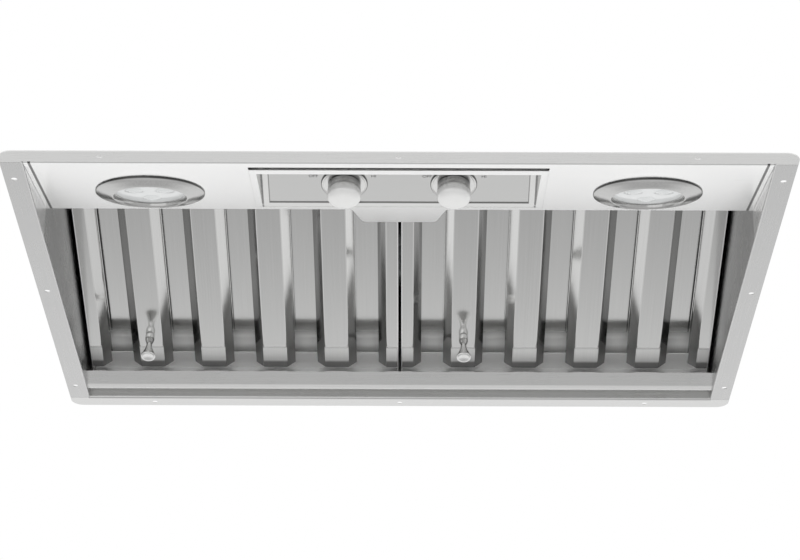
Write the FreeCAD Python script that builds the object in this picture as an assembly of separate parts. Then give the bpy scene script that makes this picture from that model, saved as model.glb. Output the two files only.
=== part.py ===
import FreeCAD, Part
import os
from math import sin, cos, tan, radians, degrees, pi, exp, log, hypot, atan2

# Range hood insert: a steel liner that drops into a hood from below and hangs by its flange.
# Frame: origin at the middle of the flange's underside, X to the cook's right, Y to the back, Z up.
# All sizes are millimetres.

V = FreeCAD.Vector
x_axis, y_axis, z_axis = V(1, 0, 0), V(0, 1, 0), V(0, 0, 1)

# ---- casing ------------------------------------------------------------------------------
overall_width = 873.0        # 34 3/8 in, over the flange
overall_depth = 711.0        # 28 in, over the flange
body_height = 229.0          # 9 in, flange underside to top panel
front_height = 9.5           # front wall, low so that the body leans back behind its flange
cover_gap = 4.0              # least height of the slanting cover over lamps and raised filters
gauge = 1.2                  # steel sheet
bend = 1.8                   # inside radius of a press-brake bend
lip_bend = 0.05              # inside radius of a lip folded tight over an edge
flange_width = 25.4
flange_corner = 16.0
seam = 0.4                   # hairline between a side flange and the front or back flange
top_lip = 14.0               # lips of the top panel and the cover over the walls
seat = 0.3                   # gap where one piece rests loosely on another

screw_hole_r = 3.5
screw_edge = 11.0            # hole centre to flange edge
end_screw_inset = 111.0      # outer screws of the front and back flanges, from the flange's side
side_screw_inset = 65.0      # outer screws of the side flanges, from the flange's end

# ---- lamp panel --------------------------------------------------------------------------
panel_slope = 11.5           # degrees, rising to the back
panel_length = 186.5         # along the slope, front bend to rear edge
angle_foot = 10.0            # angles that hold the panel: width over it
angle_leg = 8.0              # and height up the side walls
front_lip = 8.6              # lip turned up against the front wall
hem_width = 9.0              # rear edge folded back on itself
hem_gap = 0.2                # between the hem's two layers
hem_inset = 30.0             # hem's ends from the side walls
tab_root = 110.0             # plate in the middle of the rear edge, where it starts
tab_end = 86.0               # and at its free end
tab_depth = 55.0
tab_corner = 9.0
tab_fillet = 6.0

# ---- lamps -------------------------------------------------------------------------------
lamp_x = 282.5
lamp_s = 115.0               # along the slope, from the front bend
lamp_hole_r = 51.0
trim_r = 62.0
trim_edge = 1.6              # height of the trim's rim at its outside
trim_rise = 6.0              # how far the trim stands out of the panel
trim_mouth_r = 41.0
trim_wall = 1.6
trim_collar_r = 50.0
trim_collar_height = 9.0     # above the panel's underside
lens_depth = 3.5             # lens face above the panel's underside
lens_thickness = 3.0
lens_ledge = 2.5             # how far the lens reaches over its ledge
optic_r = 12.0
optic_rise = 2.2
optic_foot = 0.5             # the optics reach this far into the plate
optic_ring_r = 20.0
board_thickness = 1.6
chip_size = 5.0
can_height = 15.0
can_wall = 1.6
can_fin_count = 9
can_fin_height = 8.0
can_fin_share = 0.96         # length of a fin for the can's width under it
clip_width = 12.0
clip_height = 13.0
clip_foot = 16.0

# ---- control recess ----------------------------------------------------------------------
recess_half_width = 166.0    # opening in the lamp panel
recess_front_s = 17.0        # front edge of the opening, along the slope
slot_width = 10.5            # open slot in front of the bezel
bezel_front = 12.0           # width of the bezel's front strip
bezel_side = 8.0
bezel_gap = 0.4
plate_slope = 11.7           # degrees, rising to the front
plate_gap = 1.7              # between the plate's border and the recess wall
plate_border = 6.6
border_rise = 1.2
plate_reach = 75.0           # length of the plate along its slope
tray_flange = 8.0            # reach of the tray's flanges over the lamp panel
tray_ledge = 7.0             # reach of the tray's ledge over the control plate

knob_x = 62.7
knob_back = 40.0             # knob axis in front of the plate's rear edge, along the plate
ring_r = 26.8
ring_height = 1.8
knob_r = 18.8
knob_length = 14.0           # straight part of the knob
knob_dome = 4.0
knob_wall = 2.4
knob_gap = 0.6               # under the knob, above its ring
knob_hub_r = 6.5
shaft_r = 3.0
shaft_fit = 0.05             # radial running clearance
pointer_width = 1.6
pointer_depth = 0.8
bushing_r = 5.0
control_size = 32.0          # body of a rotary control
control_depth = 20.0

# ---- filters -----------------------------------------------------------------------------
filter_slope = 18.0          # degrees, falling to the back
filter_back = 51.9           # the filters' face plane stands filter_face_z high,
filter_face_z = 38.8         # this far in front of the back wall
filter_gap = 4.0             # between the two filters
filter_side_gap = 5.1        # between a filter and the side wall
baffle_count = 5             # rear channels in a filter
filter_low_s = 36.2          # lower end, along the slope from the face point
filter_length = 345.0
frame_rail = 31.0            # width of the frame's lower rail
frame_high_rail = 42.0
frame_side_rail = 12.0
baffle_sheet = 0.9
front_flat = 30.0
front_splay = 12.0           # sideways reach of a front channel's side
front_depth = 10.4
front_end = 14.0             # front channels stop this short of the frame's lower end
rear_flat = 32.0
rear_splay = 4.0
rear_depth = 14.6
baffle_bend = 1.5
filter_travel = 28.0         # slide up the trough's front wall that frees a filter

pull_s = -39.2               # pull's place along the slope
pull_length = 38.5
pull_head_r = 9.5
pull_neck_r = 3.6
pull_base_r = 5.4
pull_screw_r = 6.0

# ---- grease trough and ledge -------------------------------------------------------------
trough_bottom = 5.3          # lowest point above the flange's underside
trough_slope = 22.7          # degrees, its front wall
trough_bend = 20.8           # inside radius of its nose
trough_reach = 52.1          # its front lip in front of the back wall
trough_top = 62.0
inner_gap = 3.0              # inner panel in front of the lamp panel's rear edge
inner_foot = 6.5
ledge_overlap = 13.0         # reach of its ledge under the filters

# ---- blower ------------------------------------------------------------------------------
duct_r = 75.6                # outside of the collar, for a 6 in duct
duct_back = 94.1             # duct's centre in front of the back wall
collar_height = 45.0
collar_sheet = 1.2
collar_foot = 14.0
collar_shoulder = 6.0        # height of the wider foot that stops the duct
collar_step = 2.0            # how much wider it is, in radius
duct_opening_gap = 3.0       # the top panel's hole is this much smaller in radius
blower_setback = 51.2        # wheel's axle in front of the duct's centre
blower_clearance = 8.0       # scroll above the filters
wheel_headroom = 8.6         # wheel under the outlet plate
wheel_length = 120.0
blade_count = 28
blade_depth = 9.0
blade_sheet = 0.9
blade_curve = 38.0           # degrees
blade_fit = 0.02             # blades' inner edges outside the middle disc
wheel_ring = 3.0
ring_proud = 1.5             # end rings outside the blades
ring_lap = 5.0               # and over them
wheel_disc = 2.0
hub_r = 9.0
hub_length = 18.0
motor_shaft_r = 4.0
tongue_gap = 7.0             # scroll's tongue outside the wheel
tongue_angle = 35.0          # degrees from the top, towards the outlet
scroll_spread = 1.36         # radius at the outlet for one at the tongue
scroll_width = 136.0
scroll_sheet = 1.0
inlet_lap = 6.0              # the wheel's radius over the inlet's
inlet_flare = 7.0
inlet_bell_height = 7.0
motor_side_gap = 7.0         # motor inside the blades
motor_length = 78.0
motor_chamfer = 4.0
motor_gap = 5.0              # motor face to wheel disc
band_length = 18.0
arm_width = 12.0
arm_sheet = 2.0
arm_inset = 5.0              # feet outside the inlet's bell
strap_width = 22.0
strap_length = 36.6
strap_foot = 18.0
strap_sheet = 1.5
outlet_margin = 14.0

# ---- damper ------------------------------------------------------------------------------
damper_rise = 22.0           # rod above the top panel
rod_r = 2.5
flap_gap = 2.5               # flap edge to collar
flap_sheet = 0.8
knuckle_wall = 1.4
knuckle_fit = 0.05
knuckle_length = 22.0
knuckle_gap = 1.0
leaf_reach = 14.0            # a knuckle's leaf on its flap, from the rod's axis
stop_size = 5.0
stop_width = 10.0

# ---- electrics ---------------------------------------------------------------------------
box_from_side = 91.1         # junction box's middle to the side wall
box_size = (110.0, 56.0, 64.0)
box_sheet = 1.2
cover_lip = 8.0
knockout_r = 11.1
knockout_inset = 28.0        # knock-out centre in front of the back wall
driver_x = -196.0
driver_size = (34.0, 92.0, 20.0)
driver_s = 72.0              # front end, along the lamp panel
capacitor_x = 170.0
capacitor_r = 17.0
capacitor_length = 60.0
capacitor_drop = 99.8        # its foot under the top panel
ear_reach = 14.0             # its strap's ears
ear_sheet = 1.0
strap_height = 14.0
screw_head_r = 3.8           # of the screws round the duct collar
screw_head = 2.0
rivet_r = 3.2
rivet_height = 1.2
back_rivet_pitch = 300.0
side_rivet_inset = 40.0      # side rivets from the ends of the lips they hold
front_rivet_inset = 80.0     # first side rivet, from the front wall

# ---- worked out from the sizes above -------------------------------------------------------
wall_x = overall_width / 2 - flange_width          # inner face of a side wall
wall_y = overall_depth / 2 - flange_width          # inner face of the front and back walls
wall_top = body_height - gauge
panel_rise = sin(radians(panel_slope))
panel_run = cos(radians(panel_slope))
panel_rear_y = -wall_y + panel_length * panel_run
hem_s = panel_length - hem_width                   # front edge of the hem
bezel_outer_s = recess_front_s + slot_width
bezel_inner_s = bezel_outer_s + bezel_front
tray_half_width = recess_half_width - bezel_side   # inner face of the tray's side walls
plate_half_width = tray_half_width - plate_gap
plate_rear_y = -wall_y + hem_s * panel_run - 2.0
plate_rear_z = hem_s * panel_rise + border_rise
inner_y = panel_rear_y - inner_gap                 # where the inner panel leaves its foot

filter_face_y = wall_y - filter_back
filter_rise = sin(radians(filter_slope))
filter_run = cos(radians(filter_slope))
filter_fall = filter_rise / filter_run
filter_width = wall_x - filter_side_gap - filter_gap / 2
baffle_pitch = filter_width / baffle_count
filter_high_s = filter_low_s - filter_length
filter_x = (filter_gap + filter_width) / 2
rear_half = rear_flat / 2 + rear_splay
rail_w = front_depth                               # underside of the frame's rails above the face
rear_w = rail_w + gauge                            # where the rear channels stand on the lower rail
trough_lip_y = wall_y - trough_reach

duct_y = wall_y - duct_back
box_x = box_from_side - wall_x
box_low = wall_top - box_sheet - seat - box_size[2]   # leaves room for its cover's lip
capacitor_low = wall_top - capacitor_drop
throat_half = scroll_width / 2
outlet_z = wall_top - gauge                        # underside of the outlet plate


def slope_over(y, z):
    """Degrees of a slope from the front wall's top that clears a point by the cover's gap."""
    return degrees(atan2(z + cover_gap - front_height, y + wall_y + gauge))


def raised_filter_corner():
    """Upper front corner of a filter slid up as far as it goes, as (y, z)."""
    s, w = filter_high_s, rear_w
    forward = filter_travel * cos(radians(trough_slope))
    upward = filter_travel * sin(radians(trough_slope))
    return (filter_face_y + s * filter_run + w * filter_rise - forward,
            filter_face_z - s * filter_rise + w * filter_run + upward)


def lamp_corner():
    """Front end of a lamp can's fins, as (y, z)."""
    s = lamp_s - (trim_collar_r + seat + can_wall) * can_fin_share
    w = gauge + can_height + can_fin_height
    return -wall_y + s * panel_run - w * panel_rise, s * panel_rise + w * panel_run


def scroll_bottom_share():
    """Scroll's radius straight under the axle, for one at its tongue."""
    return scroll_spread ** ((180.0 + tongue_angle) / (270.0 + tongue_angle))


cover_slope = max(slope_over(*raised_filter_corner()), slope_over(*lamp_corner()))
cover_fall = tan(radians(cover_slope))
wheel_y = duct_y - blower_setback
filter_top = filter_face_z + (filter_face_y - wheel_y) * filter_fall + (rear_w + rear_depth) / filter_run
blower_room = outlet_z - wheel_headroom - ring_proud - blower_clearance - filter_top
bottom_share = scroll_bottom_share()
wheel_r = (blower_room - tongue_gap * bottom_share) / (1 + bottom_share)   # fills the room there is
wheel_z = outlet_z - wheel_headroom - ring_proud - wheel_r
scroll_start_r = wheel_r + tongue_gap
scroll_end_r = scroll_start_r * scroll_spread
tongue_y = scroll_start_r * sin(radians(tongue_angle))
inlet_r = wheel_r - inlet_lap
inlet_bell_r = inlet_r + inlet_flare
motor_r = wheel_r - blade_depth - motor_side_gap
arm_reach = inlet_bell_r + arm_inset


def place(shape, slope, y, z, x, s):
    """From axes that lie along a slope: y along it, z square to it. The shape goes to (x, s) on it."""
    moved = shape.copy()
    there = FreeCAD.Placement(V(0, y, z), FreeCAD.Rotation(x_axis, slope))
    there = there.multiply(FreeCAD.Placement(V(x, s, 0), FreeCAD.Rotation()))
    moved.Placement = there.multiply(shape.Placement)
    return moved


def on_panel(shape, x=0.0, s=0.0):
    """On the lamp panel: y up the slope from the front bend, z away from the room."""
    return place(shape, panel_slope, -wall_y, 0, x, s)


def on_plate(shape, x=0.0, s=0.0):
    """On the control plate: y down the slope to its rear edge, z away from the room."""
    return place(shape, -plate_slope, plate_rear_y, plate_rear_z, x, s)


def on_filter(shape, x=0.0, s=0.0):
    """On a filter: y down the slope, z up through the filter from its face."""
    return place(shape, -filter_slope, filter_face_y, filter_face_z, x, s)


def box(x0, x1, y0, y1, z0, z1):
    return Part.makeBox(x1 - x0, y1 - y0, z1 - z0, V(x0, y0, z0))


def tube(outer_r, inner_r, z0, z1, x=0.0, y=0.0):
    ring = Part.makeCylinder(outer_r, z1 - z0, V(x, y, z0))
    if inner_r <= 0:
        return ring
    return ring.cut(Part.makeCylinder(inner_r, z1 - z0 + 2, V(x, y, z0 - 1)))


def join(shapes):
    whole = shapes[0].multiFuse(shapes[1:]).removeSplitter()
    return whole.Solids[0] if len(whole.Solids) == 1 else whole


def folded_section(path, thickness, inside_r):
    """Closed section of a folded sheet. path is its one face, the sheet lies to the left of it.

    Every corner gets an arc about one centre for both faces, so the sheet keeps its thickness.
    """
    near, far = [], []
    for i, (a, b) in enumerate(path):
        if i in (0, len(path) - 1):
            j = min(i, len(path) - 2)
            run = V(path[j + 1][0] - path[j][0], path[j + 1][1] - path[j][1], 0).normalize()
            left = V(-run.y, run.x, 0)
            near.append((V(a, b, 0),))
            far.append((V(a, b, 0) + left * thickness,))
            continue
        before = V(a - path[i - 1][0], b - path[i - 1][1], 0).normalize()
        after = V(path[i + 1][0] - a, path[i + 1][1] - b, 0).normalize()
        turn = atan2(before.x * after.y - before.y * after.x, before.dot(after))
        side = 1 if turn > 0 else -1
        near_r = inside_r + thickness if side > 0 else inside_r
        far_r = inside_r if side > 0 else inside_r + thickness
        reach = near_r * tan(abs(turn) / 2)
        start = V(a, b, 0) - before * reach
        centre = start + V(-before.y, before.x, 0) * side * near_r
        arm_in = V(before.y, -before.x, 0) * side
        arm_out = V(after.y, -after.x, 0) * side
        arm_mid = (arm_in + arm_out).normalize()
        near.append(tuple(centre + arm * near_r for arm in (arm_in, arm_mid, arm_out)))
        far.append(tuple(centre + arm * far_r for arm in (arm_in, arm_mid, arm_out)))
    stations = near + [tuple(reversed(group)) for group in reversed(far)]
    edges = []
    last = stations[-1][-1]
    for group in stations:
        edges.append(Part.LineSegment(last, group[0]).toShape())
        if len(group) == 3:
            edges.append(Part.Arc(*group).toShape())
        last = group[-1]
    return Part.Face(Part.Wire(edges))


def along_x(section, x0, x1):
    """Stands a section drawn as (y, z) upright and draws it out along X."""
    face = section.copy()
    face.Placement = FreeCAD.Placement(V(x0, 0, 0), FreeCAD.Rotation(V(1, 1, 1), 120))
    return face.extrude(V(x1 - x0, 0, 0))


def along_y(section, y0, y1):
    """Stands a section drawn as (x, z) upright and draws it out along Y."""
    face = section.copy()
    face.Placement = FreeCAD.Placement(V(0, y0, 0), FreeCAD.Rotation(x_axis, 90))
    return face.extrude(V(0, y1 - y0, 0))


def turned(points, x=0.0, y=0.0):
    """Revolves a closed outline of (radius, z) points about an upright axis at (x, y)."""
    wire = Part.makePolygon([V(r, 0, z) for r, z in points] + [V(points[0][0], 0, points[0][1])])
    solid = Part.Face(wire).revolve(V(0, 0, 0), z_axis, 360)
    solid.translate(V(x, y, 0))
    return solid


def mirrored(shape):
    return shape.mirror(V(0, 0, 0), x_axis)


# ---- casing ------------------------------------------------------------------------------
def flange_outline():
    """The whole flange as a plate with its four corners rounded."""
    plate = box(-overall_width / 2, overall_width / 2, -overall_depth / 2, overall_depth / 2, 0, gauge)
    corners = [e for e in plate.Edges if abs(e.tangentAt(e.FirstParameter).z) > 0.99]
    return plate.makeFillet(flange_corner, corners)


def screw_places():
    """Centres of the twelve flange screws."""
    row_y = overall_depth / 2 - screw_edge
    row_x = overall_width / 2 - screw_edge
    end_x = overall_width / 2 - end_screw_inset
    side_y = overall_depth / 2 - side_screw_inset
    ends = [(x, y) for y in (-row_y, row_y) for x in (-end_x, 0, end_x)]
    sides = [(x, y) for x in (-row_x, row_x) for y in (-side_y, 0, side_y)]
    return ends + sides


def drill_flange(shape):
    for x, y in screw_places():
        shape = shape.cut(Part.makeCylinder(screw_hole_r, 3 * gauge, V(x, y, -gauge)))
    return shape


def cover_z(y):
    """Height of the slanting cover's underside at a depth y."""
    return front_height + (y + wall_y + gauge) * cover_fall


def above_cover(lift=0.0):
    """Everything above the slanting cover's underside, or above a plane this far over it."""
    low, high = -overall_depth, overall_depth
    points = [(low, cover_z(low) + lift), (high, cover_z(high) + lift), (low, cover_z(high) + lift)]
    wire = Part.makePolygon([V(y, z, 0) for y, z in points + points[:1]])
    return along_x(Part.Face(wire), -overall_width, overall_width)


def end_wall(height):
    """Front wall with its flange. The flange runs the full width, past the side walls."""
    half = wall_x + gauge
    section = folded_section([(-overall_depth / 2, 0), (-wall_y, 0), (-wall_y, height)], gauge, bend)
    wall = along_x(section, -half, half)
    ends = box(-overall_width, -half, -overall_depth, -wall_y, -gauge, gauge)
    inner_edge = -wall_y - bend - gauge
    strip = flange_outline().common(join([ends, mirrored(ends),
                                          box(-half, half, -overall_depth, inner_edge, -gauge, gauge)]))
    return drill_flange(join([wall, strip]))


def front_wall():
    return end_wall(front_height)


def back_wall():
    return end_wall(wall_top).mirror(V(0, 0, 0), y_axis)


def side_wall(side):
    """Side wall with its flange, which butts between the front and back flanges."""
    section = folded_section([(wall_x, wall_top), (wall_x, 0), (overall_width / 2, 0)], gauge, bend)
    wall = along_y(section, -wall_y, wall_y)
    for end in (-1, 1):
        edges = sorted((end * wall_y, end * (wall_y - seam)))
        wall = wall.cut(box(wall_x + gauge + bend, overall_width, edges[0], edges[1], -gauge, 2 * gauge))
    wall = drill_flange(wall.cut(above_cover()))
    return wall if side > 0 else mirrored(wall)


def side_lips(points):
    """Lips over the outsides of both side walls, from their outline as (y, z) points."""
    wire = Part.makePolygon([V(y, z, 0) for y, z in points + points[:1]])
    x = wall_x + gauge
    lip = along_x(Part.Face(wire), x, x + gauge)
    return [lip, mirrored(lip)]


def cover_end():
    """Where the cover's underside stops, just under the top panel's front bend."""
    y = -wall_y - gauge + (wall_top - gauge - front_height) / cover_fall
    return y, cover_z(y)


def slant_cover():
    """Slanting cover from the front wall up to the top panel, lipped over front and side walls."""
    front = -wall_y - gauge
    low = front_height - 5.0
    y1, z1 = cover_end()
    half = wall_x + 2 * gauge
    path = [(front, low), (front, front_height), (y1, z1)]
    sheet = along_x(folded_section(path, gauge, lip_bend), -half, half)
    sink = top_lip / cos(radians(cover_slope))
    lip_start = front + (low + sink - front_height) / cover_fall
    lips = side_lips([(front, low), (front, front_height), (y1, z1), (y1, z1 - sink), (lip_start, low)])
    return join([sheet] + lips)


def top_panel():
    """Level top: front lip on the cover, other lips over the walls, holes for duct and wiring."""
    back = wall_y + gauge
    lift = gauge / cos(radians(cover_slope))
    y2 = -wall_y - gauge + (wall_top - lift - front_height) / cover_fall
    run, rise = cos(radians(cover_slope)), sin(radians(cover_slope))
    low = wall_top - top_lip
    path = [(y2 - top_lip * run, wall_top - top_lip * rise), (y2, wall_top), (back, wall_top), (back, low)]
    half = wall_x + 2 * gauge
    sheet = along_x(folded_section(path, gauge, lip_bend), -half, half)
    y1 = cover_end()[0] + 1.0
    lips = side_lips([(y1, wall_top), (back, wall_top), (back, low), (y1, low)])
    hole = Part.makeCylinder(duct_r - duct_opening_gap, 4 * gauge, V(0, duct_y, wall_top - gauge))
    knockout = Part.makeCylinder(knockout_r, 4 * gauge, V(box_x, wall_y - knockout_inset, wall_top - gauge))
    return join([sheet] + lips).cut(hole).cut(knockout)


# ---- lamp panel --------------------------------------------------------------------------
def tab_plate():
    """Plate behind the rear edge, in the panel's own axes, with filleted root and round corners."""
    s0, s1 = panel_length - hem_width, panel_length + tab_depth
    root, end, r = tab_root / 2, tab_end / 2, tab_fillet
    points = [(-root - r, s0), (-root - r, panel_length), (-root, panel_length), (-end, s1),
              (end, s1), (root, panel_length), (root + r, panel_length), (root + r, s0)]
    wire = Part.makePolygon([V(x, y, 0) for x, y in points + points[:1]])
    plate = Part.Face(wire).extrude(V(0, 0, gauge))

    def upright(x, y):
        return [e for e in plate.Edges if abs(e.Vertexes[0].X - x) < 0.01 and
                abs(e.Vertexes[-1].X - x) < 0.01 and abs(e.Vertexes[0].Y - y) < 0.01 and
                abs(e.Vertexes[-1].Y - y) < 0.01]

    plate = plate.makeFillet(tab_corner, upright(-end, s1) + upright(end, s1))
    roots = upright(-root, panel_length) + upright(root, panel_length)
    return plate.makeFillet(tab_fillet * 0.9, roots)


def lamp_panel():
    """Sloping panel for the lamps and controls: lip in front, hem and tab behind."""
    front = (front_lip * panel_rise, front_lip * panel_run)
    strip = folded_section([front, (0, 0), (panel_length, 0)], gauge, bend)
    half = wall_x - seat
    sheet = along_x(strip, -half, half)
    end = wall_x - hem_inset
    hem = box(-end, end, hem_s, panel_length, gauge + hem_gap, 2 * gauge + hem_gap)
    fold = box(-end, end, panel_length - gauge, panel_length, 0, 2 * gauge + hem_gap)
    body = join([sheet, hem, fold, tab_plate()])
    opening = box(-recess_half_width, recess_half_width, recess_front_s, hem_s, -5, 5 * gauge)
    body = body.cut(opening)
    for x in (-lamp_x, lamp_x):
        body = body.cut(Part.makeCylinder(lamp_hole_r, 4 * gauge, V(x, lamp_s, -gauge)))
    return on_panel(body).cut(above_cover(-seat))


def panel_angles():
    """Two angles on the side walls that the lamp panel is fixed up to."""
    path = [(wall_x - angle_foot, gauge), (wall_x, gauge), (wall_x, gauge + angle_leg)]
    section = folded_section(path, gauge, bend)
    angle = on_panel(along_y(section, front_lip, panel_length)).cut(above_cover(-seat))
    return Part.makeCompound([angle, mirrored(angle)])


# ---- control recess ----------------------------------------------------------------------
def plate_height(y):
    """Height of the control plate's upper face at a depth y."""
    return plate_rear_z + gauge / cos(radians(plate_slope)) + (plate_rear_y - y) * tan(radians(plate_slope))


def panel_height(y, above=0.0):
    """Height of the lamp panel's underside at a depth y, or of a plane this far above it."""
    return (y + wall_y) * tan(radians(panel_slope)) + above / panel_run


def wedge(inset):
    """Side view of the tray's walls: from the bezel's inner edge up to the control plate's ledge.

    With an inset it is the hollow between them, open towards the room and at the back.
    """
    far = plate_reach + plate_gap - inset
    run, rise = cos(radians(plate_slope)), sin(radians(plate_slope))
    top = 2 * gauge
    y1, z1 = plate_rear_y, plate_rear_z
    front_y = tray_front() - gauge + inset
    open_y = 2.0 if inset else 0.0
    rear = y1 + open_y
    high = 1.0 if inset else 0.0
    points = [(front_y, panel_height(front_y) - open_y), (rear, panel_height(rear) - open_y),
              (rear, z1 + top / run - open_y * rise / run + high),
              (y1 - far * run + top * rise, z1 + far * rise + top * run + high)]
    wire = Part.makePolygon([V(y, z, 0) for y, z in points + points[:1]])
    return Part.Face(wire)


def tray_front():
    """Depth where the tray's front wall starts, at the bezel's inner edge."""
    return -wall_y + bezel_inner_s * panel_run


def control_tray():
    """Bezel in the lamp panel's plane, walls up from its inner edge, a ledge over the control plate."""
    half = recess_half_width - bezel_gap
    rear = hem_s - bezel_gap
    strips = box(-half, half, bezel_outer_s, rear, 0, gauge + 0.01)
    wide = half + tray_flange
    strips = strips.fuse(box(-wide, wide, bezel_outer_s, rear, gauge, 2 * gauge))
    hollow = box(-tray_half_width, tray_half_width, bezel_inner_s, rear + 1, -1, 3 * gauge)
    frame = on_panel(strips.cut(hollow))
    outer, inner = wedge(0.0), wedge(gauge)
    walls = along_x(outer, -tray_half_width - gauge, tray_half_width + gauge)
    walls = walls.cut(along_x(inner, -tray_half_width, tray_half_width))
    far = plate_reach + plate_gap
    ledge = box(-tray_half_width - gauge / 2, tray_half_width + gauge / 2, -far, 0, gauge, 2 * gauge)
    reach = plate_half_width - tray_ledge
    ledge = ledge.cut(box(-reach, reach, -plate_reach + tray_ledge, -tray_ledge, 0, 3 * gauge))
    return join([frame, walls, on_plate(ledge)])


def control_plate():
    """Plate for the knobs, with a border that stands out towards the room."""
    length = plate_reach
    half = plate_half_width
    plate = box(-half, half, -length, 0, 0, gauge)
    border = box(-half, half, -length, 0, -border_rise, 0.01)
    inner = half - plate_border
    border = border.cut(box(-inner, inner, -length + plate_border, -plate_border, -border_rise - 1, 1))
    plate = join([plate, border])
    for x in (-knob_x, knob_x):
        plate = plate.cut(Part.makeCylinder(bushing_r + seat, 4 * gauge, V(x, -knob_back, -gauge)))
    return on_plate(plate)


def knob_ring(side):
    """Escutcheon between the plate and the knob."""
    top, r = -ring_height, ring_r
    ring = turned([(bushing_r + seat, 0), (r, 0), (r, top * 0.4), (r - 1.2, top), (bushing_r + seat, top)])
    return on_plate(ring, side * knob_x, -knob_back)


def knob(side, pointer_angle):
    """Knob with a straight side, a domed face, a hub for the shaft and a pointer groove."""
    low = -ring_height - knob_gap
    face = low - knob_length
    r = knob_r
    dome = [(share * r, face - knob_dome * (1 - share * share)) for share in (0, 0.5, 0.8, 1)]
    skin = turned(dome + [(r, low), (0, low)])
    floor = V(0, 0, face + knob_wall)
    hollow = Part.makeCylinder(r - knob_wall, knob_length, floor)
    hub = tube(knob_hub_r, 0, face, low)
    body = join([skin.cut(hollow), hub])
    body = body.cut(Part.makeCylinder(shaft_r + shaft_fit / 2, knob_length, floor))
    groove = box(-pointer_width / 2, pointer_width / 2, -r - 1, -r + pointer_depth, face, low + 1)
    groove.rotate(V(0, 0, 0), z_axis, pointer_angle)
    return on_plate(body.cut(groove), side * knob_x, -knob_back)


def knob_shaft(side):
    """Shaft of a rotary control, which turns with its knob."""
    tip = -ring_height - knob_gap - knob_length + knob_wall + seat
    shaft = tube(shaft_r, 0, tip, gauge + control_depth * 0.6)
    return on_plate(shaft, side * knob_x, -knob_back)


def rotary_control(side):
    """Body of a rotary control behind the plate, with its threaded bushing and nut."""
    half = control_size / 2
    body = box(-half, half, -half, half, gauge, gauge + control_depth)
    upright = [e for e in body.Edges if abs(e.tangentAt(e.FirstParameter).z) > 0.99]
    body = body.makeFillet(3.0, upright)
    bushing = tube(bushing_r, 0, -ring_height, gauge + 1)
    whole = join([body, bushing])
    bore = Part.makeCylinder(shaft_r + shaft_fit, control_depth * 0.6 + 10, V(0, 0, -ring_height - 1))
    whole = whole.cut(bore)
    return on_plate(whole, side * knob_x, -knob_back)


# ---- lamps -------------------------------------------------------------------------------
def lamp_trim(side):
    """Domed trim: a thin rim, a crown up to the mouth, a funnel to the lens and a collar above."""
    mouth, collar = trim_mouth_r, trim_collar_r
    ledge_r = mouth - lens_ledge
    crown = V((trim_r + mouth) / 2 + 2.0, 0, -trim_edge - (trim_rise - trim_edge) * 0.62)
    points = [(mouth, -trim_rise), (mouth - trim_wall * 0.4, -trim_rise + 1.0), (ledge_r, lens_depth),
              (mouth, lens_depth), (mouth, trim_collar_height), (collar, trim_collar_height),
              (collar, 0), (trim_r, 0), (trim_r, -trim_edge)]
    edges = [Part.Arc(V(trim_r, 0, -trim_edge), crown, V(mouth, 0, -trim_rise)).toShape()]
    edges += [Part.LineSegment(V(a[0], 0, a[1]), V(b[0], 0, b[1])).toShape()
              for a, b in zip(points, points[1:])]
    ring = Part.Face(Part.Wire(edges)).revolve(V(0, 0, 0), z_axis, 360)
    return on_panel(ring, side * lamp_x, lamp_s)


def optic_places():
    return [(optic_ring_r * sin(radians(a)), optic_ring_r * cos(radians(a))) for a in (60, 180, 300)]


def lamp_lens(side):
    """Clear plate with three low optics, seated on the trim's ledge."""
    plate = tube(trim_mouth_r - seat, 0, lens_depth, lens_depth + lens_thickness)
    dome = [(share * optic_r, lens_depth - optic_rise * (1 - share * share)) for share in (0, 0.6, 1)]
    foot = lens_depth + optic_foot
    optics = [turned(dome + [(optic_r, foot), (0, foot)], x, y) for x, y in optic_places()]
    return on_panel(join([plate] + optics), side * lamp_x, lamp_s)


def led_board(side):
    """Round board on top of the trim's collar, with a chip over each optic."""
    z0 = trim_collar_height
    board = tube(trim_collar_r - 1.0, 0, z0, z0 + board_thickness)
    half = chip_size / 2
    chips = [box(x - half, x + half, y - half, y + half, z0 - 1.2, z0 + 0.1) for x, y in optic_places()]
    return on_panel(join([board] + chips), side * lamp_x, lamp_s)


def lamp_can(side):
    """Cup over the lamp that stands on the panel, with cooling fins on its top."""
    r, top = trim_collar_r + seat + can_wall, gauge + can_height
    cup = tube(r, 0, gauge, top).cut(Part.makeCylinder(r - can_wall, can_height - 3, V(0, 0, gauge - 1)))
    pitch = 2 * r / can_fin_count
    fins = []
    for i in range(can_fin_count):
        x = -r + pitch * (i + 0.5)
        reach = (r * r - x * x) ** 0.5 * can_fin_share
        fins.append(box(x - 0.9, x + 0.9, -reach, reach, top - 0.5, top + can_fin_height))
    return on_panel(join([cup] + fins), side * lamp_x, lamp_s)


def lamp_clips(side):
    """Two spring clips that hold the can down on the panel."""
    r = trim_collar_r + seat + can_wall
    path = [(r, gauge + clip_height), (r, gauge), (r + clip_foot, gauge)]
    section = folded_section(path, 0.8, 1.2)
    clip = along_y(section, -clip_width / 2, clip_width / 2)
    clip = clip.cut(Part.makeCylinder(r, 2 * clip_height, V(0, 0, 0)))
    return [on_panel(clip, side * lamp_x, lamp_s), on_panel(mirrored(clip), side * lamp_x, lamp_s)]


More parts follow.
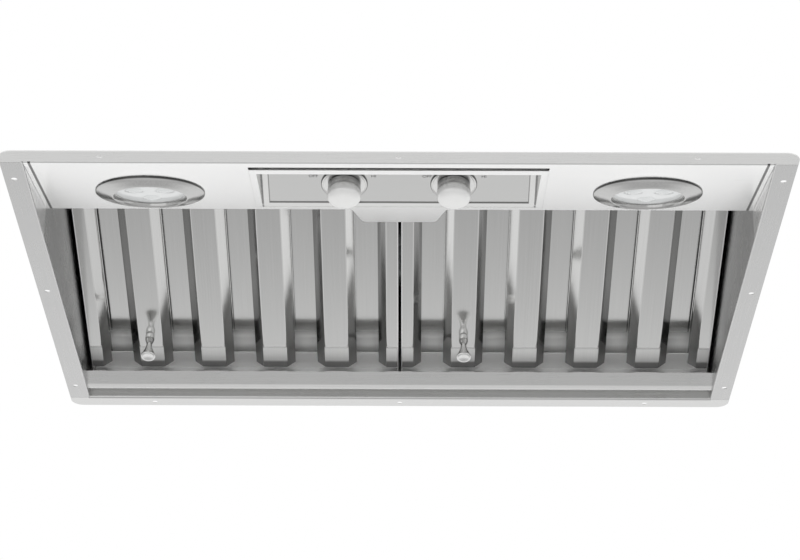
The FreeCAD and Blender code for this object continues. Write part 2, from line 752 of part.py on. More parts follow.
# ---- inner panel and trough ----------------------------------------------------------------
def inner_panel():
    """Sheet between lamps and plenum: foot on the hem, slope, ledge for the filters."""
    rise = (2 * gauge + hem_gap) / panel_run
    foot_y = inner_y - inner_foot
    run, fall = cos(radians(filter_slope)), sin(radians(filter_slope))
    deep = seat + gauge

    def under_filter(along):
        return (filter_face_y + along * run - deep * fall, filter_face_z - along * fall - deep * run)

    top = under_filter(filter_high_s - filter_travel - 3.0)
    end = under_filter(filter_high_s + ledge_overlap)
    path = [(foot_y, panel_height(foot_y) + rise), (inner_y, panel_height(inner_y) + rise), top, end]
    half = wall_x - gauge - bend - seat
    return along_x(folded_section(path, gauge, bend), -half, half)


def trough_path():
    """Underside of the grease trough: down its front wall, round the nose, up the back wall."""
    outer = trough_bend + gauge
    fall = tan(radians(trough_slope))
    line_z = trough_bottom + outer - outer / cos(radians(trough_slope)) - outer * fall
    return [(trough_lip_y, line_z + trough_reach * fall), (wall_y, line_z), (wall_y, trough_top)]


def grease_trough():
    return along_x(folded_section(trough_path(), gauge, trough_bend), -wall_x, wall_x)


# ---- filters -----------------------------------------------------------------------------
def drip_lip():
    """How far the frame's lower lip goes below the face plane to stand just over the trough's nose."""
    outer = trough_bend + gauge
    y = filter_face_y + filter_low_s * filter_run - (wall_y - outer)
    z = filter_face_z - filter_low_s * filter_rise - (trough_bottom + outer)
    along = y * filter_rise + z * filter_run
    return along + (along ** 2 - y ** 2 - z ** 2 + (trough_bend - seat) ** 2) ** 0.5


def filter_frame(side):
    """Frame of a filter: rails round a window, lips, a tall one at its lower end, an upstand."""
    half = filter_width / 2
    s0, s1 = filter_high_s, filter_low_s
    plate = box(-half, half, s0, s1, rail_w, rail_w + gauge)
    window_s, top, reach = s0 + frame_high_rail, rear_w + rear_depth, half - frame_side_rail
    window = box(-reach, reach, window_s, s1 - frame_rail, rail_w - 1, rail_w + gauge + 1)
    lips = [box(-reach, reach, window_s - gauge, window_s, rail_w, top),
            box(-half, half, s1 - gauge, s1, -drip_lip(), top),
            box(-half, half, s0, s0 + gauge, 0, rail_w + gauge),
            box(-half, -half + gauge, s0, s1, 0, rail_w + gauge),
            box(half - gauge, half, s0, s1, 0, rail_w + gauge)]
    return on_filter(join([plate.cut(window)] + lips), side * filter_x)


def front_channel(left, right):
    """Section of a front channel with its flat on the face plane. A half channel has one side.

    The sides end under the rails, the sheet's upper corners too.
    """
    corner_rise = baffle_sheet * front_splay / hypot(front_splay, front_depth)
    share = 1 - (corner_rise + seat) / front_depth
    flat, reach, depth = front_flat / 2, front_flat / 2 + front_splay * share, front_depth * share
    path = []
    if left:
        path += [(-reach, depth), (-flat, 0)]
    else:
        path += [(gauge, 0)]
    if right:
        path += [(flat, 0), (reach, depth)]
    else:
        path += [(-gauge, 0)]
    return folded_section(path, baffle_sheet, baffle_bend)


def front_baffles(side):
    """Channels nearest the room: full ones between the pitches, and a half one at each edge."""
    half = filter_width / 2
    s0, s1 = filter_high_s + gauge, filter_low_s - front_end
    channels = []
    for i in range(baffle_count + 1):
        x = -half + i * baffle_pitch
        shape = along_y(front_channel(i > 0, i < baffle_count), s0, s1)
        shape.translate(V(x, 0, 0))
        channels.append(on_filter(shape, side * filter_x))
    return Part.makeCompound(channels)


def rear_baffles(side):
    """Channels farther from the room, open towards it: from the frame's upstand to its lower lip."""
    half = filter_width / 2
    s0, s1 = filter_high_s + frame_high_rail + seat, filter_low_s - gauge - seat
    corner_dip = baffle_sheet * rear_splay / hypot(rear_splay, rear_depth)
    flat, reach, low, high = rear_flat / 2, rear_half, rear_w + corner_dip, rear_w + rear_depth
    path = [(reach, low), (flat, high), (-flat, high), (-reach, low)]
    channels = []
    for i in range(baffle_count):
        shape = along_y(folded_section(path, baffle_sheet, baffle_bend), s0, s1)
        shape.translate(V(-half + (i + 0.5) * baffle_pitch, 0, 0))
        channels.append(on_filter(shape, side * filter_x))
    return Part.makeCompound(channels)


def filter_pull(side):
    """Trumpet-shaped pull on the filter's first full channel from its left edge."""
    neck, head, base = pull_neck_r, pull_head_r, pull_base_r
    outline = [(0, 0), (base, 0), (base + 0.6, 0.20), (neck + 0.5, 0.34), (neck, 0.44), (neck + 1.4, 0.64),
               (head - 1.6, 0.84), (head, 0.93), (head - 2.5, 1.0), (0, 1.0)]
    pull = turned([(r, -share * pull_length) for r, share in outline])
    x = -filter_width / 2 + baffle_pitch
    return on_filter(pull, side * filter_x + x, pull_s)


def pull_screw(side):
    """Screw head inside the channel that holds the pull."""
    head = tube(pull_screw_r, 0, baffle_sheet, baffle_sheet + 3.0)
    x = -filter_width / 2 + baffle_pitch
    return on_filter(head, side * filter_x + x, pull_s)


# ---- duct collar and damper ----------------------------------------------------------------
def duct_collar():
    """Round collar that a duct slips over, down to the shoulder of its wider foot."""
    inner, foot_r = duct_r - collar_sheet, duct_r + collar_step
    top, low = collar_height, collar_shoulder - collar_sheet
    outline = [(inner, top), (inner, low), (foot_r - collar_sheet, low), (foot_r - collar_sheet, 0),
               (foot_r, 0), (foot_r, collar_shoulder), (duct_r, collar_shoulder), (duct_r, top)]
    return turned([(r, body_height + z) for r, z in outline], 0, duct_y)


def collar_ring():
    """Flat ring round the collar's foot that is screwed to the top panel."""
    inner = duct_r + collar_step
    return tube(duct_r + collar_foot, inner, body_height, body_height + collar_sheet, 0, duct_y)


def damper_stops():
    """Two blocks inside the collar that the closed flaps rest on."""
    inner = duct_r - collar_sheet
    top = body_height + damper_rise - flap_sheet / 2 - seat
    low = top - stop_size
    bore = Part.makeCylinder(inner, collar_height, V(0, duct_y, body_height))
    stop = box(inner - stop_size, inner, duct_y - stop_width / 2, duct_y + stop_width / 2, low, top)
    stop = stop.common(bore)
    return Part.makeCompound([stop, mirrored(stop)])


def damper_rod():
    inner = duct_r - collar_sheet
    reach = (inner ** 2 - rod_r ** 2) ** 0.5 - 0.05
    z = body_height + damper_rise
    return Part.makeCylinder(rod_r, 2 * reach, V(0, duct_y - reach, z), y_axis)


def damper_knuckle(start):
    """Barrel round the rod with a leaf that lies on the right flap."""
    z = body_height + damper_rise
    y0 = duct_y + start
    near = rod_r + knuckle_wall
    top = z + flap_sheet / 2
    barrel = Part.makeCylinder(near, knuckle_length, V(0, y0, z), y_axis)
    leaf = box(0, leaf_reach, y0, y0 + knuckle_length, top, top + flap_sheet)
    bore = Part.makeCylinder(rod_r + knuckle_fit, knuckle_length + 2, V(0, y0 - 1, z), y_axis)
    return join([barrel, leaf]).cut(bore)


def damper_flap(side):
    """Half-round flap hung from the rod by two knuckles. The flaps' knuckles take turns along it."""
    z = body_height + damper_rise
    r = duct_r - collar_sheet - flap_gap
    edge = rod_r + knuckle_wall + seat
    disc = Part.makeCylinder(r, flap_sheet, V(0, duct_y, z - flap_sheet / 2))
    flap = disc.common(box(edge, r + 1, duct_y - r, duct_y + r, z - 1, z + 1))
    first = -2 * knuckle_length - 1.5 * knuckle_gap
    if side < 0:
        first += knuckle_length + knuckle_gap
    pitch = 2 * (knuckle_length + knuckle_gap)
    solids = [flap, damper_knuckle(first), damper_knuckle(first + pitch)]
    return Part.makeCompound([solid if side > 0 else mirrored(solid) for solid in solids])


# ---- blower ------------------------------------------------------------------------------
def scroll_radius(angle):
    """Radius of the scroll at an angle from the tongue, growing by the same share each degree."""
    sweep = 270.0 + tongue_angle
    growth = log(scroll_end_r / scroll_start_r) / sweep
    return scroll_start_r * exp(growth * angle)


def scroll_line(offset):
    """Scroll from the tongue round to the outlet's outer wall, as (y, z) points, moved outwards."""
    sweep = 270.0 + tongue_angle
    steps = 12
    line = []
    for i in range(steps + 1):
        angle = sweep * i / steps
        r = scroll_radius(angle) + offset
        turn = radians(angle - tongue_angle)
        line.append(V(wheel_y - r * sin(turn), wheel_z + r * cos(turn), 0))
    return line


def scroll_face(offset):
    """The scroll's side view: the spiral and the two walls of the outlet up to the top panel."""
    line = scroll_line(offset)
    first, last = line[0], line[-1]
    up = [last, V(last.x, outlet_z, 0), V(first.x, outlet_z, 0), first]
    arcs = [Part.Arc(*line[i:i + 3]).toShape() for i in range(0, len(line) - 2, 2)]
    return Part.Face(Part.Wire(arcs + [Part.LineSegment(a, b).toShape() for a, b in zip(up, up[1:])]))


def outlet_mouth(z0, z1, x=0.0):
    """The hollow of the blower's outlet between two heights."""
    half = throat_half + x
    rear = wheel_y + scroll_end_r - scroll_sheet
    return box(-half, half, wheel_y + tongue_y + scroll_sheet, rear, z0, z1)


def scroll_wrapper():
    """Sheet round the edge of the blower, open at the outlet."""
    outer = along_x(scroll_face(0.0), -throat_half, throat_half)
    inner = along_x(scroll_face(-scroll_sheet), -throat_half - 1, throat_half + 1)
    return outer.cut(inner).cut(outlet_mouth(outlet_z - 3, outlet_z + 3, 1.0))


def scroll_side(side):
    """Side plate of the blower with its bell-mouthed inlet."""
    x0 = throat_half
    plate = along_x(scroll_face(0.0), x0, x0 + scroll_sheet)
    plate = plate.cut(Part.makeCylinder(inlet_r, 20, V(x0 - 10, wheel_y, wheel_z), x_axis))
    bell = turned([(inlet_r, -2.0), (inlet_r + scroll_sheet, -2.0), (inlet_r + scroll_sheet + 1, 2.0),
                   (inlet_bell_r, inlet_bell_height), (inlet_bell_r - 1.4, inlet_bell_height),
                   (inlet_r, 2.6)])
    bell.Placement = FreeCAD.Placement(V(x0, wheel_y, wheel_z), FreeCAD.Rotation(y_axis, 90))
    plate = join([plate, bell])
    return plate if side > 0 else mirrored(plate)


def scroll_straps():
    """Two angles that hang the blower from the outlet plate, one at each side."""
    y1 = wheel_y + scroll_end_r - scroll_sheet
    x = throat_half + scroll_sheet
    path = [(x + strap_foot, outlet_z), (x, outlet_z), (x, outlet_z - strap_length)]
    section = folded_section(path, strap_sheet, bend)
    strap = along_y(section, y1 - strap_width, y1)
    return Part.makeCompound([strap, mirrored(strap)])


def outlet_plate():
    """Plate under the top panel that closes the duct opening round the blower's outlet."""
    half = duct_r + outlet_margin
    plate = box(-half, half, duct_y - half, duct_y + half, outlet_z, wall_top)
    return plate.cut(outlet_mouth(outlet_z - gauge, wall_top + gauge))


def blade(angle):
    """One forward-curved blade, an arc in section, from end ring to end ring."""
    r1, r0 = wheel_r, wheel_r - blade_depth
    lean = radians(blade_curve) / 4
    shift = blade_sheet / r0

    def bow(turn):
        stations = [(r0, -lean), ((r0 + r1) / 2, -lean * 0.35), (r1, lean)]
        return [V(r * cos(a + turn), r * sin(a + turn), 0) for r, a in stations]

    near, far = bow(0.0), bow(shift)
    edges = [Part.Arc(*near).toShape(), Part.LineSegment(near[2], far[2]).toShape(),
             Part.Arc(far[2], far[1], far[0]).toShape(), Part.LineSegment(far[0], near[0]).toShape()]
    solid = Part.Face(Part.Wire(edges)).extrude(V(0, 0, wheel_length - 2 * wheel_ring))
    solid.translate(V(0, 0, wheel_ring))
    solid.rotate(V(0, 0, 0), z_axis, angle)
    return solid


def along_wheel(shape):
    """Turns a shape drawn about Z to lie on the wheel's axle, starting at the wheel's left end."""
    moved = shape.copy()
    there = FreeCAD.Placement(V(-wheel_length / 2, wheel_y, wheel_z), FreeCAD.Rotation(y_axis, 90))
    moved.Placement = there.multiply(shape.Placement)
    return moved


def blower_wheel():
    """Middle disc of the double-inlet wheel, with its hub on the motor's shaft."""
    mid = wheel_length / 2
    disc = tube(wheel_r - blade_depth - blade_fit, 0, mid - wheel_disc / 2, mid + wheel_disc / 2)
    hub = tube(hub_r, 0, mid - hub_length / 2, mid + hub_length / 2)
    bore = Part.makeCylinder(motor_shaft_r + 0.02, wheel_length, V(0, 0, 0))
    return along_wheel(join([disc, hub]).cut(bore))


def wheel_blades():
    """Squirrel cage of forward-curved blades."""
    return Part.makeCompound([along_wheel(blade(360.0 * i / blade_count)) for i in range(blade_count)])


def wheel_rings():
    """Rings that hold the blades' ends."""
    inner, outer = wheel_r - ring_lap, wheel_r + ring_proud
    return Part.makeCompound([along_wheel(tube(outer, inner, z, z + wheel_ring))
                              for z in (0, wheel_length - wheel_ring)])


def motor_end():
    """X of the motor's face next to the wheel's disc."""
    return -wheel_disc / 2 - hub_length / 2 - motor_gap


def blower_motor():
    """Motor inside the wheel's left half, its end bells chamfered, bored for the shaft."""
    x1 = motor_end()
    x0 = x1 - motor_length
    can = Part.makeCylinder(motor_r, motor_length, V(x0, wheel_y, wheel_z), x_axis)
    rims = [e for e in can.Edges if abs(e.Length - 2 * pi * motor_r) < 0.1]
    can = can.makeChamfer(motor_chamfer, rims)
    bore_r = motor_shaft_r + shaft_fit
    bore = Part.makeCylinder(bore_r, motor_length, V(x0 + 8, wheel_y, wheel_z), x_axis)
    return can.cut(bore)


def motor_shaft():
    x0 = motor_end() - motor_length + 8 + 1
    x1 = hub_length / 2 + 1
    return Part.makeCylinder(motor_shaft_r, x1 - x0, V(x0, wheel_y, wheel_z), x_axis)


def motor_bracket():
    """Three-armed bracket that holds the motor to the blower's left side plate."""
    x1 = -throat_half - scroll_sheet - inlet_bell_height
    band = tube(motor_r + 2.5, motor_r + 0.02, 0, band_length)
    arms = []
    for i in range(3):
        arm = box(motor_r + 1, arm_reach, -arm_width / 2, arm_width / 2, band_length - arm_sheet, band_length)
        foot = box(arm_reach - arm_sheet, arm_reach, -arm_width / 2, arm_width / 2,
                   band_length - arm_sheet, band_length + inlet_bell_height)
        arm = arm.fuse(foot)
        arm.rotate(V(0, 0, 0), z_axis, 120.0 * i + 90.0)
        arms.append(arm)
    bracket = join([band] + arms)
    there = V(x1 - band_length, wheel_y, wheel_z)
    bracket.Placement = FreeCAD.Placement(there, FreeCAD.Rotation(y_axis, 90))
    return bracket


# ---- electrics ---------------------------------------------------------------------------
def junction_box():
    """Steel box on the back wall for the house wiring, under the knock-out and open to the front."""
    w, d, h = box_size
    y1 = wall_y
    body = box(box_x - w / 2, box_x + w / 2, y1 - d, y1, box_low, box_low + h)
    inside = box(box_x - w / 2 + box_sheet, box_x + w / 2 - box_sheet, y1 - d - 1, y1 - box_sheet,
                 box_low + box_sheet, box_low + h - box_sheet)
    knockout = V(box_x, wall_y - knockout_inset, box_low + h - 2 * box_sheet)
    return body.cut(inside).cut(Part.makeCylinder(knockout_r, 4 * box_sheet, knockout))


def junction_cover():
    """Cover over the open side of the junction box, lipped above and below."""
    w, d, h = box_size
    y = wall_y - d
    z0, z1 = box_low, box_low + h
    path = [(y + cover_lip, z1), (y, z1), (y, z0), (y + cover_lip, z0)]
    section = folded_section(list(reversed(path)), box_sheet, 0.3)
    return along_x(section, box_x - w / 2, box_x + w / 2)


def led_driver():
    """Sealed supply for the lamps, lying on the lamp panel beside the control tray."""
    w, d, h = driver_size
    body = box(-w / 2, w / 2, 0, d, gauge, gauge + h)
    edges = [e for e in body.Edges if abs(e.tangentAt(e.FirstParameter).y) > 0.99 and e.CenterOfMass.z > h]
    body = body.makeFillet(3.0, edges)
    return on_panel(body, driver_x, driver_s)


def run_capacitor():
    """Motor capacitor standing against the back wall."""
    foot = V(capacitor_x, wall_y - capacitor_r, capacitor_low)
    can = Part.makeCylinder(capacitor_r, capacitor_length, foot)
    rims = [e for e in can.Edges if abs(e.Length - 2 * pi * capacitor_r) < 0.1]
    return can.makeChamfer(1.8, rims)


def capacitor_strap():
    """Band round the capacitor with an ear at each side on the back wall."""
    y = wall_y - capacitor_r
    z0 = capacitor_low + capacitor_length * 0.4
    z1 = z0 + strap_height
    r = capacitor_r + 0.02
    band = tube(r + ear_sheet, r, z0, z1, capacitor_x, y)
    parts = [band.cut(box(capacitor_x - 2 * r, capacitor_x + 2 * r, y, y + 2 * r, z0 - 1, z1 + 1))]
    for side in (-1, 1):
        leg_x = sorted((capacitor_x + side * r, capacitor_x + side * (r + ear_sheet)))
        ear_x = sorted((capacitor_x + side * r, capacitor_x + side * (r + ear_reach)))
        parts.append(box(leg_x[0], leg_x[1], y, wall_y, z0, z1))
        parts.append(box(ear_x[0], ear_x[1], wall_y - ear_sheet, wall_y, z0, z1))
    return join(parts)


def casing_rivets():
    """Rivets through the lips of the top panel and the cover."""
    z = wall_top - top_lip / 2
    outside_x, outside_y = wall_x + 2 * gauge, wall_y + 2 * gauge
    pitch = back_rivet_pitch
    places = [(V(x, outside_y, z), y_axis) for x in (-pitch, 0.0, pitch)]
    sink = top_lip / 2 / cos(radians(cover_slope))
    first, middle, last = -wall_y + front_rivet_inset, cover_end()[0], wall_y - side_rivet_inset
    step = (middle - side_rivet_inset - first) / 2
    sides = [(y, z) for y in (middle + side_rivet_inset, last)]
    sides += [(first + i * step, cover_z(first + i * step) - sink) for i in range(3)]
    for y, height in sides:
        places += [(V(side * outside_x, y, height), V(side, 0, 0)) for side in (-1, 1)]
    return [Part.makeCone(rivet_r, rivet_r * 0.5, rivet_height, at, way) for at, way in places]


def collar_screws():
    """Screw heads round the ring of the duct collar."""
    ring = duct_r + (collar_step + collar_foot) / 2
    z = body_height + collar_sheet
    screws = []
    for i in range(8):
        a = radians(45.0 * i + 22.5)
        foot = V(ring * cos(a), duct_y + ring * sin(a), z)
        screws.append(Part.makeCone(screw_head_r, screw_head_r * 0.6, screw_head, foot, z_axis))
    return screws


def sub_parts():
    """Every sub-part by its node's name."""
    parts = {
        "front_wall": front_wall(),
        "back_wall": back_wall(),
        "left_wall": side_wall(-1),
        "right_wall": side_wall(1),
        "top_panel": top_panel(),
        "slant_cover": slant_cover(),
        "lamp_panel": lamp_panel(),
        "panel_angles": panel_angles(),
        "control_tray": control_tray(),
        "control_plate": control_plate(),
        "inner_panel": inner_panel(),
        "grease_trough": grease_trough(),
        "duct_collar": duct_collar(),
        "collar_ring": collar_ring(),
        "damper_rod": damper_rod(),
        "damper_stops": damper_stops(),
        "scroll_wrapper": scroll_wrapper(),
        "scroll_straps": scroll_straps(),
        "outlet_plate": outlet_plate(),
        "blower_wheel": blower_wheel(),
        "wheel_blades": wheel_blades(),
        "wheel_rings": wheel_rings(),
        "blower_motor": blower_motor(),
        "motor_shaft": motor_shaft(),
        "motor_bracket": motor_bracket(),
        "junction_box": junction_box(),
        "junction_cover": junction_cover(),
        "led_driver": led_driver(),
        "run_capacitor": run_capacitor(),
        "capacitor_strap": capacitor_strap(),
        "led_boards": Part.makeCompound([led_board(-1), led_board(1)]),
        "lamp_cans": Part.makeCompound([lamp_can(-1), lamp_can(1)]),
        "lamp_clips": Part.makeCompound(lamp_clips(-1) + lamp_clips(1)),
        "casing_fasteners": Part.makeCompound(casing_rivets() + collar_screws()),
    }
    pointer_angles = {"left": -55.0, "right": -26.0}
    for name, side in (("left", -1), ("right", 1)):
        parts[name + "_knob_ring"] = knob_ring(side)
        parts[name + "_knob"] = knob(side, pointer_angles[name])
        parts[name + "_knob_shaft"] = knob_shaft(side)
        parts[name + "_rotary_control"] = rotary_control(side)
        parts[name + "_lamp_trim"] = lamp_trim(side)
        parts[name + "_lamp_lens"] = lamp_lens(side)
        parts[name + "_filter_frame"] = filter_frame(side)
        parts[name + "_front_baffles"] = front_baffles(side)
        parts[name + "_rear_baffles"] = rear_baffles(side)
        parts[name + "_filter_pull"] = filter_pull(side)
        parts[name + "_pull_screw"] = pull_screw(side)
        parts[name + "_damper_flap"] = damper_flap(side)
        parts[name + "_scroll_side"] = scroll_side(side)
    return parts


os.makedirs("parts", exist_ok=True)
for node, shape in sub_parts().items():
    shape.exportStep("parts/" + node + ".step")
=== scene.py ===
import math
import bmesh
import bpy
import numpy as np
from mathutils import Matrix, Vector


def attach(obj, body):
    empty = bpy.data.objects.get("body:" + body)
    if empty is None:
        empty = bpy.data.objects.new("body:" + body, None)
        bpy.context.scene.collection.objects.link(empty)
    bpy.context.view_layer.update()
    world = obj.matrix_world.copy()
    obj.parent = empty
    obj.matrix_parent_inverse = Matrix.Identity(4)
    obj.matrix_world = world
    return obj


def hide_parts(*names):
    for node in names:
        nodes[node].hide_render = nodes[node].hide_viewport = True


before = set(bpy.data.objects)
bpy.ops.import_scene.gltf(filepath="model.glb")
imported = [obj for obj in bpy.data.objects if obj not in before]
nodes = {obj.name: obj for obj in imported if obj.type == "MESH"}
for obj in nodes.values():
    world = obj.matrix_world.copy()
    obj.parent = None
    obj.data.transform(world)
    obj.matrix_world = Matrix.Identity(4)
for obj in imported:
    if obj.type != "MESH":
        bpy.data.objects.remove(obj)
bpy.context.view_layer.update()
print("range hood insert: frame loaded,", len(nodes), "nodes")


# the camera looks up into the hood from below its front edge
camera = {
    "place": (0.01225, -2.78813, -1.31398),   # metres
    "pitch": 25.513,     # degrees above the horizon
    "yaw": 0.234,        # degrees to the left
    "roll": 0.300,
    "lens": 114.74,      # mm
    "sensor": 36.0,
    "reach": 50.0,       # metres
}


def makeCamera(c):
    pitch, yaw, roll = (math.radians(c[key]) for key in ("pitch", "yaw", "roll"))
    turn = Matrix.Rotation(yaw, 3, "Z")
    right = turn @ Vector((1, 0, 0))
    up = turn @ Vector((0, -math.sin(pitch), math.cos(pitch)))
    ahead = turn @ Vector((0, math.cos(pitch), math.sin(pitch)))
    right, up = (math.cos(roll) * right + math.sin(roll) * up,
                 math.cos(roll) * up - math.sin(roll) * right)
    data = bpy.data.cameras.new("camera")
    data.lens = c["lens"]
    data.sensor_width = c["sensor"]
    data.sensor_fit = "HORIZONTAL"
    data.clip_end = c["reach"]
    obj = bpy.data.objects.new("camera", data)
    bpy.context.scene.collection.objects.link(obj)
    turnTo = Matrix((right, up, -ahead)).transposed().to_4x4()
    obj.matrix_world = Matrix.Translation(c["place"]) @ turnTo
    bpy.context.scene.camera = obj


makeCamera(camera)
print("camera placed")


# each slope that pieces stand on: its angle in degrees and a point (y, z) on it, in mm
slopes = {
    "panel": (11.5, -330.1, 0.0),
    "plate": (-11.7, -158.163, 36.587),
    "filter": (-18.0, 278.2, 38.8),
}


def linear(code):
    # sRGB hex to linear light, as the shader wants it
    code = code.lstrip("#")
    channels = [int(code[i:i + 2], 16) / 255 for i in (0, 2, 4)]
    light = [c / 12.92 if c <= 0.04045 else ((c + 0.055) / 1.055) ** 2.4 for c in channels]
    return (*light, 1.0)


def grey(value):
    return (value, value, value, 1.0)


def addNode(tree, kind, settings=None, links=None):
    # settings: property or input values; links: input name or index -> (node, output)
    node = tree.nodes.new(kind)
    for key, value in (settings or {}).items():
        if isinstance(key, str) and hasattr(node, key):
            setattr(node, key, value)
        else:
            node.inputs[key].default_value = value
    for key, (source, output) in (links or {}).items():
        tree.links.new(source.outputs[output], node.inputs[key])
    return node


def maths(tree, operation, *operands):
    # each operand is a number or a (node, output) pair
    node = addNode(tree, "ShaderNodeMath", {"operation": operation})
    for index, operand in enumerate(operands):
        if isinstance(operand, tuple):
            tree.links.new(operand[0].outputs[operand[1]], node.inputs[index])
        else:
            node.inputs[index].default_value = operand
    return node


def newTree(name):
    # an empty node material
    material = bpy.data.materials.new(name)
    material.use_nodes = True
    material.node_tree.nodes.clear()
    return material, material.node_tree


def newMaterial(name, settings):
    # a Principled material with its surface linked; returns the material, its tree and the shader
    material, tree = newTree(name)
    shader = addNode(tree, "ShaderNodeBsdfPrincipled", settings)
    addNode(tree, "ShaderNodeOutputMaterial", links={"Surface": (shader, 0)})
    return material, tree, shader


def shaderOf(material):
    return next(node for node in material.node_tree.nodes if node.type == "BSDF_PRINCIPLED")


def objectAxes(tree):
    # the three parts of the place on the piece, in metres
    place = addNode(tree, "ShaderNodeTexCoord")
    return addNode(tree, "ShaderNodeSeparateXYZ", links={0: (place, "Object")})


def overSlope(tree, slope):
    # height over one of the slopes, square to it, in metres
    angle, y, z = slopes[slope]
    sine, cosine = math.sin(math.radians(angle)), math.cos(math.radians(angle))
    place = addNode(tree, "ShaderNodeTexCoord")
    up = addNode(tree, "ShaderNodeVectorMath", {"operation": "DOT_PRODUCT", 1: (0, -sine, cosine)},
                 {0: (place, "Object")})
    return maths(tree, "SUBTRACT", (up, "Value"), (z * cosine - y * sine) / 1000)


def ramp(tree, source, output, stops):
    # a colour ramp with the given (place, colour) stops
    node = addNode(tree, "ShaderNodeValToRGB", links={0: (source, output)})
    elements = node.color_ramp.elements
    while len(elements) > 1:
        elements.remove(elements[-1])
    for index, (place, colour) in enumerate(stops):
        element = elements[0] if index == 0 else elements.new(place)
        element.position = place
        element.color = linear(colour) if isinstance(colour, str) else colour
    return node


def toneRamp(tree, source, output, span, tones):
    # tones: (mm, share of brightness) along a length that a node gives in metres; span: its two ends in mm
    start, end = span
    level = addNode(tree, "ShaderNodeMapRange", {"From Min": start / 1000, "From Max": end / 1000},
                    {"Value": (source, output)})
    return ramp(tree, level, 0, [((at - start) / (end - start), grey(tone)) for at, tone in tones])


def chosen(tree, share, first, second):
    # the first where share is 0 and the second where it is 1; each is a colour or a (node, output) pair
    node = addNode(tree, "ShaderNodeMix", {"data_type": "RGBA"}, {0: share})
    for index, colour in ((6, first), (7, second)):
        if len(colour) == 2:
            tree.links.new(colour[0].outputs[colour[1]], node.inputs[index])
        else:
            node.inputs[index].default_value = colour
    return node


def paint(tree, shader, source, output, stops):
    # the base colour, from a ramp over a noise or a cell's own number
    colour = ramp(tree, source, output, stops)
    tree.links.new(colour.outputs[0], shader.inputs["Base Color"])


def gloss(tree, shader, source, output, roughness, reach=(0.3, 0.7)):
    # the roughness, between two values over the reach of a noise
    spread = addNode(tree, "ShaderNodeMapRange", {"From Min": reach[0], "From Max": reach[1],
                                                  "To Min": roughness[0], "To Max": roughness[1]},
                     {"Value": (source, output)})
    tree.links.new(spread.outputs[0], shader.inputs["Roughness"])


def relief(tree, shader, source, output, strength, depth):
    # fine bumps, their depth in mm
    bump = addNode(tree, "ShaderNodeBump", {"Strength": strength, "Distance": depth / 1000},
                   {"Height": (source, output)})
    tree.links.new(bump.outputs[0], shader.inputs["Normal"])


def dimmed(material, band, output):
    # multiplies the base colour by a grey that a node works out: the painted light and shade
    tree, colour = material.node_tree, shaderOf(material).inputs["Base Color"]
    source = colour.links[0].from_socket
    both = addNode(tree, "ShaderNodeMix", {"data_type": "RGBA", "blend_type": "MULTIPLY", 0: 1.0},
                   {7: (band, output)})
    tree.links.new(source, both.inputs[6])
    tree.links.new(both.outputs[2], colour)
    return material


# Stainless sheet with a number 4 finish: belt-ground lines in one direction blur what it mirrors
brushed = {
    "lineWidth": 0.9,     # mm, coarser than the real 0.1 mm so that it shows
    "lineLength": 90.0,   # mm
    "lineDepth": 0.010,   # mm
    "lineStrength": 0.35,
    "blotch": 70.0,       # mm, slow change of tone over the sheet
    "blotchShare": 0.35,
}


def brushedSteel(name, along, tones, roughness, metal=1.0, b=brushed):
    material, tree, shader = newMaterial(name, {"Metallic": metal})
    place = addNode(tree, "ShaderNodeTexCoord")
    scale = [1000 / b["lineLength" if axis == along else "lineWidth"] for axis in "xyz"]
    stretch = addNode(tree, "ShaderNodeMapping", {"Scale": scale}, {"Vector": (place, "Object")})
    lines = addNode(tree, "ShaderNodeTexNoise", {"Scale": 1.0, "Detail": 3.0, "Roughness": 0.6},
                    {"Vector": (stretch, 0)})
    slow = addNode(tree, "ShaderNodeTexNoise", {"Scale": 1000 / b["blotch"], "Detail": 2.0},
                   {"Vector": (place, "Object")})
    both = addNode(tree, "ShaderNodeMix", {"data_type": "FLOAT", "Factor": b["blotchShare"]},
                   {"A": (lines, "Fac"), "B": (slow, "Fac")})
    paint(tree, shader, both, 0, [(0.3, tones[0]), (0.7, tones[1])])
    gloss(tree, shader, both, 0, roughness)
    relief(tree, shader, lines, "Fac", b["lineStrength"], b["lineDepth"])
    return material


# The roughness of such sheet where it is ground finer, and its tones raised near white as painted light, a
# lit copy of the brushed stainless
paintedLightTones = ("#fbfbfa", "#ffffff")
brightGloss = (0.20, 0.28)

# The control plate's sheet: painted shade dims its field and leaves its folded border bright as a painted
# highlight, and a painted shadow line runs along the fold's foot
plateBorderShade = {
    "side": 149.7,       # mm from the middle to the fold's foot
    "rear": -164.63,     # mm, the rear fold's foot along Y
    "span": (-3.2, 3.2),
    # mm outwards from the fold's foot, and share of brightness: the painted shade
    "tones": [(-0.896, 0.80), (-0.512, 0.46), (0.128, 0.46), (0.64, 1.0)],
}


def plateSteelPaintedShade(name, b=plateBorderShade):
    # painted shade and highlight by the way out from the fold's foot, which is the larger of |x| - side and
    # y - rear
    material = brushedSteel(name, "x", ("#f1f1f0", "#fafaf9"), brightGloss)
    tree = material.node_tree
    axes = objectAxes(tree)
    side = maths(tree, "SUBTRACT", (maths(tree, "ABSOLUTE", (axes, "X")), 0), b["side"] / 1000)
    rear = maths(tree, "SUBTRACT", (axes, "Y"), b["rear"] / 1000)
    away = maths(tree, "MAXIMUM", (side, 0), (rear, 0))
    return dimmed(material, toneRamp(tree, away, 0, b["span"], b["tones"]), 0)


# The control tray's side walls carry painted shade, darkest as a painted shadow in the gap beside the plate
trayWallShade = {
    "span": (150.0, 170.0),   # mm from the middle
    "tones": [(155.3, 1.0), (155.6, 0.35), (157.8, 0.35), (158.0, 0.72), (159.4, 0.72), (159.7, 1.0)],
    "depth": 3.0,             # mm over the lamp panel, where the walls begin
}


